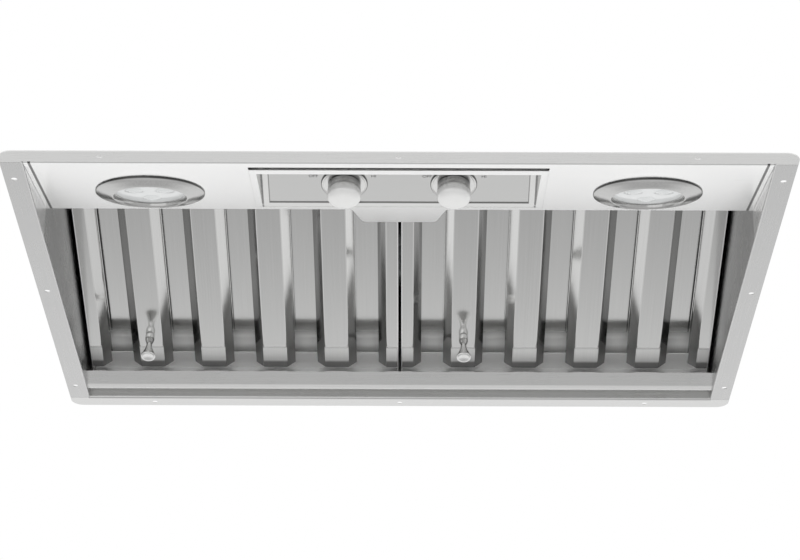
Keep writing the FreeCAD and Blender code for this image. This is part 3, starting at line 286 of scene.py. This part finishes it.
def traySteelPaintedShade(name, b=trayWallShade):
    # painted shade by |x|, only where the sheet stands more than the depth over the lamp panel's slope
    material = brushedSteel(name, "x", paintedLightTones, brightGloss)
    tree = material.node_tree
    reach = maths(tree, "ABSOLUTE", (objectAxes(tree), "X"))
    band = toneRamp(tree, reach, 0, b["span"], b["tones"])
    deep = maths(tree, "GREATER_THAN", (overSlope(tree, "panel"), 0), b["depth"] / 1000)
    return dimmed(material, chosen(tree, (deep, 0), grey(1.0), (band, 0)), 2)


# The lamp panel's ends: a painted shadow draws a dark line between the panel and the strip along the side
# wall
panelSeamShadow = {
    "span": (402.5, 406.7),   # mm from the middle
    "tones": [(402.9, 1.0), (403.3, 0.13), (405.9, 0.13), (406.3, 1.0)],
}


def panelSteelPaintedShadow(name, s=panelSeamShadow):
    material = brushedSteel(name, "x", paintedLightTones, brightGloss)
    tree = material.node_tree
    reach = maths(tree, "ABSOLUTE", (objectAxes(tree), "X"))
    return dimmed(material, toneRamp(tree, reach, 0, s["span"], s["tones"]), 0)


# The side walls below the lamp panel's ends get a paler strip, painted light for the light that the panel
# throws back, which shows on both faces of the sheet; the rest of the walls is dimmed as painted shade
wallLightAndShade = {
    "rear": -147.0,      # mm, where the strip ends along Y
    "low": 1.6,          # mm, above the flange
    "dim": 0.66,         # share of brightness of all the rest, painted shade
}


def wallSteelLightAndShade(name, w=wallLightAndShade):
    material = brushedSteel(name, "y", paintedLightTones, (0.24, 0.34))
    tree = material.node_tree
    axes = objectAxes(tree)
    front = maths(tree, "LESS_THAN", (axes, "Y"), w["rear"] / 1000)
    above = maths(tree, "GREATER_THAN", (axes, "Z"), w["low"] / 1000)
    strip = maths(tree, "MULTIPLY", (front, 0), (above, 0))
    return dimmed(material, chosen(tree, (strip, 0), grey(w["dim"]), grey(1.0)), 2)


# Stainless sheet rolled bright: mirrors, with faint waves from the press and fine draw lines
polished = {
    "tones": ("#d3d3d2", "#d6d6d5"),
    "roughness": (0.11, 0.13),
    "wave": (30.0, 180.0),      # mm across and along the channels
    "waveDepth": 0.05,          # mm
    "waveStrength": 0.6,
    "line": (1.1, 160.0),       # mm across and along, coarser than the real 0.1 mm so that it shows
}

# The channels' flats lose most of their metal at their lower ends and are painted paler there, painted
# light; the front ones get a painted shadow at the very end, and the sides painted reflections
channelLightAndShade = {
    "span": (150.0, 305.0),   # mm along Y, where the ends begin and stop
    "pitch": 80.8,            # mm from channel to channel
    "first": 2.0,             # mm from the middle of the hood to the first channel's middle
    # flats: mm over the filter's slope, give or take; dull: mm along Y over which their metal gives way, and
    # metal: the share that is left of it; painted light and shade: (mm along Y, share of brightness), for
    # the flats, the sides that look to the middle of the hood (inner) and the sides that look away from it
    # (outer), one side lighter and one darker as painted reflections
    "front": {"flats": (0.0, 0.7), "dull": (260.0, 265.0), "metal": 0.10,
              "flatLightAndShade": [(256.0, 1.0), (268.0, 1.14), (286.5, 1.14), (290.0, 0.42)],
              "innerLightAndShade": [(190.0, 1.2), (252.0, 0.75), (272.0, 0.45)],
              "outerPaintedShade": [(190.0, 0.45)]},
    "rear": {"flats": (25.33, 0.7), "dull": (256.0, 290.0), "metal": 0.05,
             "flatLightAndShade": [(256.0, 1.0), (268.0, 1.3), (300.0, 1.42)],
             "innerLightAndShade": [(220.0, 1.0), (262.0, 0.6)],
             "outerPaintedShade": [(220.0, 1.0), (262.0, 0.6)]},
}


def drawnNoise(tree, across, along, detail):
    # a noise whose cells are the given mm across and along the channels
    place = addNode(tree, "ShaderNodeTexCoord")
    stretch = addNode(tree, "ShaderNodeMapping", {"Scale": (1000 / across, 1000 / along, 1000 / along)},
                      {"Vector": (place, "Object")})
    return addNode(tree, "ShaderNodeTexNoise", {"Scale": 1.0, "Detail": detail}, {"Vector": (stretch, 0)})


def polishedSteelLightAndShade(name, end, p=polished, e=channelLightAndShade):
    material, tree, shader = newMaterial(name, {"Metallic": 1.0})
    axes = objectAxes(tree)
    lines, waves = drawnNoise(tree, *p["line"], 2.0), drawnNoise(tree, *p["wave"], 1.0)
    paint(tree, shader, lines, "Fac", [(0.35, p["tones"][0]), (0.65, p["tones"][1])])
    gloss(tree, shader, lines, "Fac", p["roughness"])
    relief(tree, shader, waves, "Fac", p["waveStrength"], p["waveDepth"])
    height, slack = end["flats"]
    flat = maths(tree, "COMPARE", (overSlope(tree, "filter"), 0), height / 1000, slack / 1000)
    start, stop = end["dull"]
    dull = addNode(tree, "ShaderNodeMapRange", {"From Min": start / 1000, "From Max": stop / 1000,
                                                "To Max": 1 - end["metal"]}, {"Value": (axes, "Y")})
    metal = maths(tree, "SUBTRACT", 1.0, (maths(tree, "MULTIPLY", (dull, 0), (flat, 0)), 0))
    tree.links.new(metal.outputs[0], shader.inputs["Metallic"])
    # the place within one pitch, counted from the middle of the hood: the first half of it is the outer side
    turns = maths(tree, "MULTIPLY_ADD", (maths(tree, "ABSOLUTE", (axes, "X")), 0), 1000 / e["pitch"],
                  -e["first"] / e["pitch"])
    away = maths(tree, "LESS_THAN", (maths(tree, "FRACT", (turns, 0)), 0), 0.5)
    # painted light and shade along Y for the flats and both sides; the outer sides are painted darker as
    # painted reflection
    flats, inner, outer = (toneRamp(tree, axes, "Y", e["span"], end[key])
                           for key in ("flatLightAndShade", "innerLightAndShade", "outerPaintedShade"))
    sides = chosen(tree, (away, 0), (inner, 0), (outer, 0))
    return dimmed(material, chosen(tree, (flat, 0), (sides, 2), (flats, 0)), 2)


# Hot-dip galvanised sheet: zinc crystals a few millimetres across, each a little lighter or darker
galvanised = {
    "tones": [(0.0, "#8d9193"), (0.5, "#a7abac"), (1.0, "#bcc0c1")],
    "crystal": 9.0,      # mm
    "roughness": (0.32, 0.5),
}


def galvanisedSheet(name, g=galvanised):
    material, tree, shader = newMaterial(name, {"Metallic": 1.0})
    place = addNode(tree, "ShaderNodeTexCoord")
    cells = addNode(tree, "ShaderNodeTexVoronoi", {"Scale": 1000 / g["crystal"]},
                    {"Vector": (place, "Object")})
    number = addNode(tree, "ShaderNodeSeparateColor", links={0: (cells, "Color")})
    paint(tree, shader, number, 0, g["tones"])
    gloss(tree, shader, number, 1, g["roughness"], (0.0, 1.0))
    return material


# Satin metal, chromed, zinc plated or cast: a soft even gloss with a faint grain left by the buffing
def satinMetal(name, tones=("#f2f2f1", "#fbfbfa"), roughness=(0.22, 0.24), cellsPerMetre=900.0):
    material, tree, shader = newMaterial(name, {"Metallic": 1.0})
    place = addNode(tree, "ShaderNodeTexCoord")
    grain = addNode(tree, "ShaderNodeTexNoise", {"Scale": cellsPerMetre, "Detail": 2.0},
                    {"Vector": (place, "Object")})
    paint(tree, shader, grain, "Fac", [(0.35, tones[0]), (0.65, tones[1])])
    gloss(tree, shader, grain, "Fac", roughness)
    return material


# The knobs' chrome: a pearled face, pale and soft, a side painted darker as a painted reflection of the dark
# plate, and a foot painted darker still as painted shade
knobFinishAndShade = {
    "span": (0.0, 42.0),     # mm along the turned outline, from the middle of the face
    "tones": [(27.0, 1.0), (28.6, 0.56), (33.0, 0.54), (35.0, 0.34), (39.0, 0.26)],
    "pearl": 0.3,            # metal's share in the face, and where along the outline that ends
    "faceEnd": (25.0, 28.0),
}

# The rings' chrome: their turned outer edge is painted dark, a painted shadow
ringEdgeShade = {
    "span": (0.0, 50.0),
    "tones": [(21.4, 1.0), (21.6, 0.20), (23.6, 0.20), (24.0, 1.0)],
}

# The lamp trims' aluminium: the edge that stands on the panel is painted dark, a painted shadow
trimFinishAndShade = {
    "base": (("#b7b7b6", "#c4c4c3"), (0.12, 0.18)),
    "span": (0.0, 60.0),
    "tones": [(0.0, 0.15), (1.2, 0.15), (1.9, 1.0)],
}


def shadedTurnedMetal(name, t):
    # painted shade by mm along the outline from its first point, a length that the turned piece's UV map
    # holds
    material = satinMetal(name, *t.get("base", ()))
    tree = material.node_tree
    place = addNode(tree, "ShaderNodeUVMap", {"uv_map": "round"})
    axes = addNode(tree, "ShaderNodeSeparateXYZ", links={0: (place, 0)})
    if "pearl" in t:
        start, end = t["faceEnd"]
        metal = addNode(tree, "ShaderNodeMapRange", {"From Min": start / 1000, "From Max": end / 1000,
                                                     "To Min": t["pearl"]}, {"Value": (axes, "Y")})
        tree.links.new(metal.outputs[0], shaderOf(material).inputs["Metallic"])
    return dimmed(material, toneRamp(tree, axes, "Y", t["span"], t["tones"]), 0)


# Moulded, painted or printed surfaces: spark-eroded grain under a dull or satin skin
moulded = {
    "strength": 0.3,
    "depth": 0.06,       # mm
}


def mouldedPlastic(name, tones, roughness, grainSize=0.8, m=moulded):
    # grainSize in mm
    material, tree, shader = newMaterial(name, {"Roughness": roughness})
    place = addNode(tree, "ShaderNodeTexCoord")
    grain = addNode(tree, "ShaderNodeTexNoise", {"Scale": 1000 / grainSize, "Detail": 3.0},
                    {"Vector": (place, "Object")})
    paint(tree, shader, grain, "Fac", [(0.35, tones[0]), (0.65, tones[1])])
    relief(tree, shader, grain, "Fac", m["strength"], m["depth"])
    return material


# Moulded acrylic lens: its stepped optics scatter most of the light, and a little comes through
acrylic = {
    "colour": "#f4f6f6",
    "ior": 1.49,
    "through": 0.12,
    "grain": 2.0,        # mm
    "roughness": (0.03, 0.09),
}


def clearAcrylic(name, a=acrylic):
    material, tree, shader = newMaterial(name, {"IOR": a["ior"], "Transmission Weight": a["through"],
                                                "Base Color": linear(a["colour"])})
    place = addNode(tree, "ShaderNodeTexCoord")
    grain = addNode(tree, "ShaderNodeTexNoise", {"Scale": 1000 / a["grain"], "Detail": 1.0},
                    {"Vector": (place, "Object")})
    gloss(tree, shader, grain, "Fac", a["roughness"], (0.0, 1.0))
    return material


materials = {
    "flange": brushedSteel("brushed stainless, grain across", "x", ("#e1e1e0", "#ebebea"), (0.24, 0.34)),
    "cover": brushedSteel("brushed stainless, grain front to back", "y", ("#cfcfce", "#d9d9d8"),
                          (0.24, 0.34)),
    "wall": wallSteelLightAndShade("brushed stainless wall"),
    "panel": panelSteelPaintedShadow("bright brushed stainless"),
    "plate": plateSteelPaintedShade("brushed control plate"),
    "tray": traySteelPaintedShade("brushed control tray"),
    "frame": brushedSteel("brushed filter frame", "x", paintedLightTones, (0.40, 0.48), metal=0.6),
    "ink": mouldedPlastic("printed ink", ("#2a2a2a", "#343434"), 0.55, 0.3),
    "phosphor": mouldedPlastic("chip phosphor", ("#d9c86a", "#e4d680"), 0.6, 0.3),
    "frontBaffle": polishedSteelLightAndShade("polished stainless, front channels", channelLightAndShade["front"]),
    "rearBaffle": polishedSteelLightAndShade("polished stainless, rear channels", channelLightAndShade["rear"]),
    "zinc": galvanisedSheet("galvanised steel"),
    "chrome": satinMetal("satin chrome"),
    "knob": shadedTurnedMetal("knob chrome", knobFinishAndShade),
    "ring": shadedTurnedMetal("ring chrome", ringEdgeShade),
    "trim": shadedTurnedMetal("satin aluminium", trimFinishAndShade),
    "screw": satinMetal("bright zinc plate", ("#b4b5b2", "#cbccca"), (0.24, 0.36)),
    "cast": satinMetal("die-cast aluminium", ("#8f9192", "#a7a9aa"), (0.42, 0.58)),
    "black": mouldedPlastic("black moulded plastic", ("#141414", "#1f1f1f"), 0.5),
    "board": mouldedPlastic("white board lacquer", ("#e9e9e5", "#f5f5f1"), 0.4),
    "motor": mouldedPlastic("satin black motor paint", ("#151616", "#202121"), 0.4, 1.5),
    "lens": clearAcrylic("clear acrylic lens"),
}
dress = {
    "flange": ["front_wall", "back_wall", "inner_panel", "grease_trough"],
    "cover": ["slant_cover"],
    "wall": ["left_wall", "right_wall"],
    "panel": ["lamp_panel"],
    "tray": ["control_tray"],
    "plate": ["control_plate"],
    "frame": ["left_filter_frame", "right_filter_frame"],
    "frontBaffle": ["left_front_baffles", "right_front_baffles"],
    "rearBaffle": ["left_rear_baffles", "right_rear_baffles"],
    "zinc": ["top_panel", "panel_angles", "duct_collar", "collar_ring", "damper_rod", "damper_stops",
             "scroll_wrapper", "left_scroll_side", "right_scroll_side", "scroll_straps", "outlet_plate",
             "motor_bracket", "junction_box", "junction_cover", "capacitor_strap", "left_damper_flap",
             "right_damper_flap", "blower_wheel", "wheel_blades", "wheel_rings"],
    "chrome": ["left_knob", "right_knob", "left_knob_ring", "right_knob_ring", "left_filter_pull",
               "right_filter_pull"],
    "trim": ["left_lamp_trim", "right_lamp_trim"],
    "screw": ["casing_fasteners", "left_pull_screw", "right_pull_screw", "lamp_clips", "left_knob_shaft",
              "right_knob_shaft", "motor_shaft"],
    "cast": ["lamp_cans", "run_capacitor"],
    "black": ["left_rotary_control", "right_rotary_control", "led_driver"],
    "board": ["led_boards"],
    "motor": ["blower_motor"],
    "lens": ["left_lamp_lens", "right_lamp_lens"],
}
for finish, names in dress.items():
    for name in names:
        mesh = nodes[name].data
        mesh.materials.clear()
        mesh.materials.append(materials[finish])
left = sorted(set(nodes) - {name for names in dress.values() for name in names})
print("materials made; nodes without one:", left)


def onSlope(slope, x, along, out):
    # x, along and out in mm: up the slope's line and square to it, away from the room
    angle, y, z = slopes[slope]
    cosine, sine = math.cos(math.radians(angle)), math.sin(math.radians(angle))
    x, along, out = np.broadcast_arrays(x, along, out)
    return np.stack([x, y + along * cosine - out * sine, z + along * sine + out * cosine], axis=-1) / 1000


def rounded(outline, passes=2):
    # cuts every corner of an open outline at a quarter and three quarters of its sides, again and again
    line = np.array(outline, dtype=float)
    for _ in range(passes):
        cuts = np.stack([0.75 * line[:-1] + 0.25 * line[1:], 0.25 * line[:-1] + 0.75 * line[1:]], axis=1)
        line = np.concatenate([line[:1], cuts.reshape(-1, 2), line[-1:]])
    return line


def surface(name, points, finish, body, stands, sharp=38.0, loop=False):
    # points: rows along an outline, columns round an axis; loop closes the rows too; sharp: degrees
    rows, columns = points.shape[:2]
    index = np.arange(rows * columns).reshape(rows, columns)
    here = index if loop else index[:-1]
    there = np.roll(index, -1, axis=0) if loop else index[1:]
    faces = np.stack([here, np.roll(here, -1, axis=1), np.roll(there, -1, axis=1), there], axis=-1)
    mesh = bpy.data.meshes.new(name)
    mesh.from_pydata(points.reshape(-1, 3).tolist(), [], faces.reshape(-1, 4).tolist())
    # the UV map holds the share of a turn and the length along the outline in metres
    steps = np.linalg.norm(np.diff(points[:, 0], axis=0, append=points[:1, 0]), axis=1)
    length = np.concatenate([[0.0], np.cumsum(steps)])[:len(here) + 1]
    turn = np.arange(columns + 1) / columns
    corners = [(0, 0), (0, 1), (1, 1), (1, 0)]
    uv = np.stack([np.stack(np.broadcast_arrays(turn[None, j:j + columns], length[i:i + len(here), None]),
                            axis=-1) for i, j in corners], axis=2)
    mesh.uv_layers.new(name="round").data.foreach_set("uv", uv.reshape(-1).astype(np.float32))
    whole = bmesh.new()
    whole.from_mesh(mesh)
    bmesh.ops.remove_doubles(whole, verts=whole.verts, dist=1e-7)
    bmesh.ops.recalc_face_normals(whole, faces=whole.faces)
    whole.to_mesh(mesh)
    whole.free()
    mesh.shade_smooth()
    mesh.set_sharp_from_angle(angle=math.radians(sharp))
    mesh.materials.append(materials[finish])
    piece = bpy.data.objects.new(name, mesh)
    bpy.context.scene.collection.objects.link(piece)
    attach(piece, body)
    if stands:
        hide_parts(stands)


def lathe(name, outline, slope, place, finish, body, stands, columns=96, loop=False):
    # an outline of (radius, height) mm turned round an axis square to a slope at place (x, along)
    turn = np.arange(columns) * 2 * math.pi / columns
    radius, height = outline[:, :1], outline[:, 1:]
    points = onSlope(slope, place[0] + radius * np.cos(turn), place[1] + radius * np.sin(turn), height)
    surface(name, points, finish, body, stands, loop=loop)


# control knobs: a turned cap with a softly domed face and one milled pointer groove down its side
knobShape = {
    "x": 62.7,
    "along": -40.0,
    "cap": [(0, -24.6), (8.0, -24.6), (13.5, -24.3), (16.8, -23.5), (18.6, -22.0), (19.4, -19.8),
            (19.5, -17.0), (19.4, -12.4), (18.9, -9.0), (18.8, -3.6), (18.7, -2.6), (18.0, -2.4),
            (16.4, -2.4)],
    "hollow": [(16.4, -14.0), (6.5, -14.0), (6.5, -2.4), (3.1, -2.4), (3.1, -5.0), (0, -5.0)],
    "wall": (18.0, -17.0),   # mm, radius and height over which the outline is the side
    "groove": 0.9,           # mm half width
    "grooveEdge": 0.25,      # mm over which its flanks fall
    "grooveDepth": 0.8,      # mm
    "pointer": {"left": -145.0, "right": -116.0},   # degrees on the slope, 0 to the right
    "fine": (0.12, 25),      # radians each side of the pointer, and columns, where the groove is
    "coarse": (0.16, 110),   # radians from the pointer, and columns, for the rest
}


def makeKnob(side, sign, k=knobShape):
    # the side's radius drops by the groove's depth within its half width of the pointer's line
    outline = np.concatenate([rounded(k["cap"], 1), k["hollow"]])
    pointer = math.radians(k["pointer"][side])
    (near, fineColumns), (far, coarseColumns) = k["fine"], k["coarse"]
    turn = pointer + np.concatenate([np.linspace(-near, near, fineColumns),
                                     np.linspace(far, 2 * math.pi - far, coarseColumns)])
    radius, height = outline[:, :1] + 0 * turn, outline[:, 1:] + 0 * turn
    offset = np.abs(np.angle(np.exp(1j * (turn - pointer)))) * radius
    wall = (radius > k["wall"][0]) & (height > k["wall"][1])
    radius = radius - wall * k["grooveDepth"] * np.clip((k["groove"] - offset) / k["grooveEdge"] + 1, 0, 1)
    x, along = sign * k["x"] + radius * np.cos(turn), k["along"] + radius * np.sin(turn)
    points = onSlope("plate", x, along, height)
    surface(side + "Knob", points, "knob", side + "_control", side + "_knob")


# the rings under the knobs, each with a turned groove near its edge
ringShape = {
    "outline": [(5.3, 0), (26.8, 0), (26.8, -1.1), (26.5, -1.6), (25.9, -1.8), (25.3, -1.7), (24.9, -0.7),
                (24.3, -0.7), (23.9, -1.7), (23.2, -1.8), (21.0, -1.8), (5.3, -1.8)],
}
for side, sign in (("left", -1), ("right", 1)):
    makeKnob(side, sign)
    spot = (sign * knobShape["x"], knobShape["along"])
    lathe(side + "KnobRing", np.array(ringShape["outline"]), "plate", spot, "ring", "casing",
          side + "_knob_ring", loop=True)
print("knobs and rings")


# lamps: a spun trim with a rolled rim, a clear lens plate with three stepped optics, three chips above
lampShape = {
    "x": 282.5,
    "along": 115.0,
    "trim": [(62.0, 0), (62.0, -1.3), (61.8, -1.7), (61.2, -2.0), (55.0, -3.6), (49.0, -5.2), (44.0, -6.6),
             (42.6, -6.85), (41.6, -6.8), (41.0, -6.1), (40.6, -4.6), (40.2, -2.6), (39.2, -2.2),
             (39.2, -1.4), (41.0, -1.4), (41.0, 9.0), (50.0, 9.0), (50.0, 0)],
    "lens": 40.7,        # radius
    "lensLow": -1.3,     # mm above the panel's underside
    "lensHigh": 1.7,
    "lensMesh": (90, 12, 168),   # rows below, rows above, columns
    "lensSharp": 60.0,   # degrees
    "optics": (0, 120, 240),     # degrees round the lens
    "opticRing": 20.0,   # radius of the optics' centres
    "optic": 12.0,       # radius of one optic
    "opticRise": 2.2,
    "steps": 4,          # rings in an optic's face
    "stepDepth": 0.35,
    "chip": 2.3,         # radius
    "chipLow": 7.45,     # mm above the panel's underside
    "chipHigh": 7.8,
}
opticCentres = [(lampShape["opticRing"] * math.sin(angle), lampShape["opticRing"] * math.cos(angle))
                for angle in map(math.radians, lampShape["optics"])]


def makeLens(side, sign, lamp=lampShape):
    # each optic bulges as 1 - (d / r)^2, with a wave of ring steps over it, d from its centre
    below, above, columns = lamp["lensMesh"]
    outwards, inwards = np.linspace(0, lamp["lens"], below), np.linspace(lamp["lens"], 0, above)
    radius = np.concatenate([outwards, inwards])[:, None]
    turn = np.arange(columns) * 2 * math.pi / columns
    x, y = radius * np.cos(turn), radius * np.sin(turn)
    low = np.full_like(x, lamp["lensLow"])
    for centreX, centreY in opticCentres:
        away = np.hypot(x - centreX, y - centreY) / lamp["optic"]
        wave = lamp["stepDepth"] * (0.5 - 0.5 * np.cos(2 * math.pi * lamp["steps"] * away))
        bulge = (lamp["opticRise"] * (1 - away ** 2) - wave) * (away < 1)
        low = low - np.clip(bulge, 0, None)
    height = np.where(np.arange(len(radius))[:, None] < below, low, lamp["lensHigh"])
    points = onSlope("panel", sign * lamp["x"] + x, lamp["along"] + y, height)
    surface(side + "LampLens", points, "lens", "casing", side + "_lamp_lens", sharp=lamp["lensSharp"])


chipOutline = rounded([(0, lampShape["chipLow"]), (lampShape["chip"], lampShape["chipLow"]),
                       (lampShape["chip"], lampShape["chipHigh"])])
for side, sign in (("left", -1), ("right", 1)):
    spot = (sign * lampShape["x"], lampShape["along"])
    lathe(side + "LampTrim", np.array(lampShape["trim"]), "panel", spot, "trim", "casing",
          side + "_lamp_trim", columns=144, loop=True)
    makeLens(side, sign)
    for number, (centreX, centreY) in enumerate(opticCentres):
        lathe(side + "Chip" + str(number), chipOutline, "panel", (spot[0] + centreX, spot[1] + centreY),
              "phosphor", "casing", None, columns=24)
print("lamps")


# filter pulls: a trumpet turned from bar, with a waist, a flared end and a turned dish in its face
pullShape = {
    "x": {"left": -325.2, "right": 82.8},
    "along": -39.2,
    "outline": [(0, 0), (5.4, 0), (5.9, -0.8), (6.1, -5.0), (6.0, -8.4), (5.0, -11.5), (3.9, -14.5),
                (3.6, -17.5), (4.1, -21.0), (5.2, -25.2), (6.7, -29.4), (8.2, -33.0), (9.3, -35.4),
                (9.5, -36.6), (8.9, -37.8), (7.4, -38.5), (5.2, -38.2), (2.6, -37.8), (0, -37.7)],
}
for side, x in pullShape["x"].items():
    lathe(side + "Pull", rounded(pullShape["outline"]), "filter", (x, pullShape["along"]), "chrome",
          side + "_filter", side + "_filter_pull", columns=72)
print("pulls")


# printed legends beside the knobs, on the plate inside its border
legendPrint = {
    "words": [("OFF", -98.0), ("HI", -29.0), ("OFF", 32.0), ("HI", 97.0)],   # each at x in mm
    "size": 6.2,
    "along": -51.6,
    "out": -0.05,
}
for word, x in legendPrint["words"]:
    font = bpy.data.curves.new("legend", "FONT")
    font.body = word
    font.size = legendPrint["size"]
    font.align_x = "CENTER"
    drawn = bpy.data.objects.new("legend", font)
    mesh = bpy.data.meshes.new_from_object(drawn)
    bpy.data.objects.remove(drawn)
    flat = np.empty(len(mesh.vertices) * 3)
    mesh.vertices.foreach_get("co", flat)
    flat = flat.reshape(-1, 3)
    points = onSlope("plate", x + flat[:, 0], legendPrint["along"] - flat[:, 1], legendPrint["out"])
    mesh.vertices.foreach_set("co", points.reshape(-1))
    mesh.update()
    mesh.materials.clear()
    mesh.materials.append(materials["ink"])
    legend = bpy.data.objects.new("legend" + word + str(int(x)), mesh)
    bpy.context.scene.collection.objects.link(legend)
    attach(legend, "casing")
print("legends")


# studio: pale paper on the floor far below, white all round, three soft lamps
studio = {
    "floorZ": -3.2,
    "floorSize": 30.0,
    "floorColour": "#e8e8e8",
    # painted light and shade of the paper, seen in mirrors, from its front edge to its back edge, by share
    # of its depth: a painted shadow of the hood with paler bands
    "floorLightAndShade": [(0.0, 0.72), (0.42, 0.70), (0.47, 0.52), (0.50, 0.44), (0.55, 0.48), (0.563, 0.62),
                   (0.575, 0.84), (0.60, 0.86), (0.62, 0.74), (0.65, 0.62), (0.685, 0.79), (0.76, 1.0)],
    # dark card behind the camera
    "flag": {"tone": 0.05, "y": -7.0, "reach": 6.0, "low": -1.5, "high": 2.0},
    "lamps": [
        # name, place, aim, width, height, watts, whether metal mirrors it
        ("lampFront", (-1.6, -3.4, -0.6), (0, 0, 0.05), 3.4, 3.0, 14.0, True),
        ("lampSide", (2.6, 0.6, -2.2), (0, 0, 0.05), 1.6, 1.2, 12.0, False),
        ("lampAbove", (-0.8, -1.5, 3.0), (0, 0, 0.2), 3.0, 2.4, 16.0, False),
    ],
    "roomLight": 0.95,   # the white room's strength as light, and as it is seen
    "roomSeen": 1.0,
}


def seenDirectly(tree):
    # 1 for camera, mirror and see-through rays, 0 for the light that falls on things
    path = addNode(tree, "ShaderNodeLightPath")
    seen = maths(tree, "MAXIMUM", (path, "Is Camera Ray"), (path, "Is Glossy Ray"))
    return maths(tree, "MAXIMUM", (seen, 0), (path, "Is Transmission Ray"))


def floorPaper(s):
    # white to the camera; in mirrors it shows painted shade, brightest at the back and falling off under the
    # hood and in front as a painted shadow of the hood
    material, tree = newTree("floor paper")
    axes = objectAxes(tree)
    half = s["floorSize"] / 2
    level = addNode(tree, "ShaderNodeMapRange", {"From Min": -half, "From Max": half},
                    {"Value": (axes, "Y")})
    tone = ramp(tree, level, 0, [(at, grey(value)) for at, value in s["floorLightAndShade"]])
    path = addNode(tree, "ShaderNodeLightPath")
    white = chosen(tree, (path, "Is Camera Ray"), (tone, 0), grey(1.0))
    glow = addNode(tree, "ShaderNodeEmission", links={"Color": (white, 2)})
    paper = addNode(tree, "ShaderNodeBsdfDiffuse", {"Color": linear(s["floorColour"])})
    mix = addNode(tree, "ShaderNodeMixShader",
                  links={0: (seenDirectly(tree), 0), 1: (paper, 0), 2: (glow, 0)})
    # clear from below, so that the hood can be looked at from under the floor
    side = addNode(tree, "ShaderNodeNewGeometry")
    clear = addNode(tree, "ShaderNodeBsdfTransparent")
    both = addNode(tree, "ShaderNodeMixShader", links={0: (side, "Backfacing"), 1: (mix, 0), 2: (clear, 0)})
    addNode(tree, "ShaderNodeOutputMaterial", links={"Surface": (both, 0)})
    return material


def flagCard(tone):
    material, tree = newTree("flag card")
    glow = addNode(tree, "ShaderNodeEmission", {"Color": grey(tone)})
    addNode(tree, "ShaderNodeOutputMaterial", links={"Surface": (glow, 0)})
    return material


def makeFloor(s):
    half = s["floorSize"] / 2
    mesh = bpy.data.meshes.new("floor")
    mesh.from_pydata([(-half, -half, 0), (half, -half, 0), (half, half, 0), (-half, half, 0)], [],
                     [(0, 1, 2, 3)])
    floor = bpy.data.objects.new("floor", mesh)
    floor.location.z = s["floorZ"]
    bpy.context.scene.collection.objects.link(floor)
    mesh.materials.append(floorPaper(s))


def makeFlag(f):
    # a dark card behind the camera draws the thin dark outlines that bright metal shows in a white room
    mesh = bpy.data.meshes.new("flag")
    mesh.from_pydata([(-f["reach"], f["y"], f["low"]), (f["reach"], f["y"], f["low"]),
                      (f["reach"], f["y"], f["high"]), (-f["reach"], f["y"], f["high"])], [],
                     [(0, 1, 2, 3)])
    card = bpy.data.objects.new("flag", mesh)
    bpy.context.scene.collection.objects.link(card)
    mesh.materials.append(flagCard(f["tone"]))
    card.visible_camera = False
    card.visible_diffuse = False
    card.visible_shadow = False


def makeLamp(name, place, aim, width, height, watts, mirrored):
    data = bpy.data.lights.new(name, "AREA")
    data.shape = "RECTANGLE"
    data.size, data.size_y, data.energy = width, height, watts
    lamp = bpy.data.objects.new(name, data)
    bpy.context.scene.collection.objects.link(lamp)
    lamp.location = place
    lamp.rotation_euler = (Vector(aim) - Vector(place)).to_track_quat("-Z", "Y").to_euler()
    # a lamp that metal mirrors adds to the white room behind it, which would clip the chrome and the cover
    lamp.visible_glossy = mirrored


def makeRoom(s):
    world = bpy.data.worlds.new("studio")
    bpy.context.scene.world = world
    world.use_nodes = True
    tree = world.node_tree
    tree.nodes.clear()
    soft, white = (addNode(tree, "ShaderNodeBackground", {"Color": grey(1.0), "Strength": s[key]})
                   for key in ("roomLight", "roomSeen"))
    mix = addNode(tree, "ShaderNodeMixShader",
                  links={0: (seenDirectly(tree), 0), 1: (soft, 0), 2: (white, 0)})
    addNode(tree, "ShaderNodeOutputWorld", links={"Surface": (mix, 0)})


makeFloor(studio)
makeFlag(studio["flag"])
for lamp in studio["lamps"]:
    makeLamp(*lamp)
makeRoom(studio)
bpy.context.scene.view_settings.view_transform = "Standard"
print("studio set")
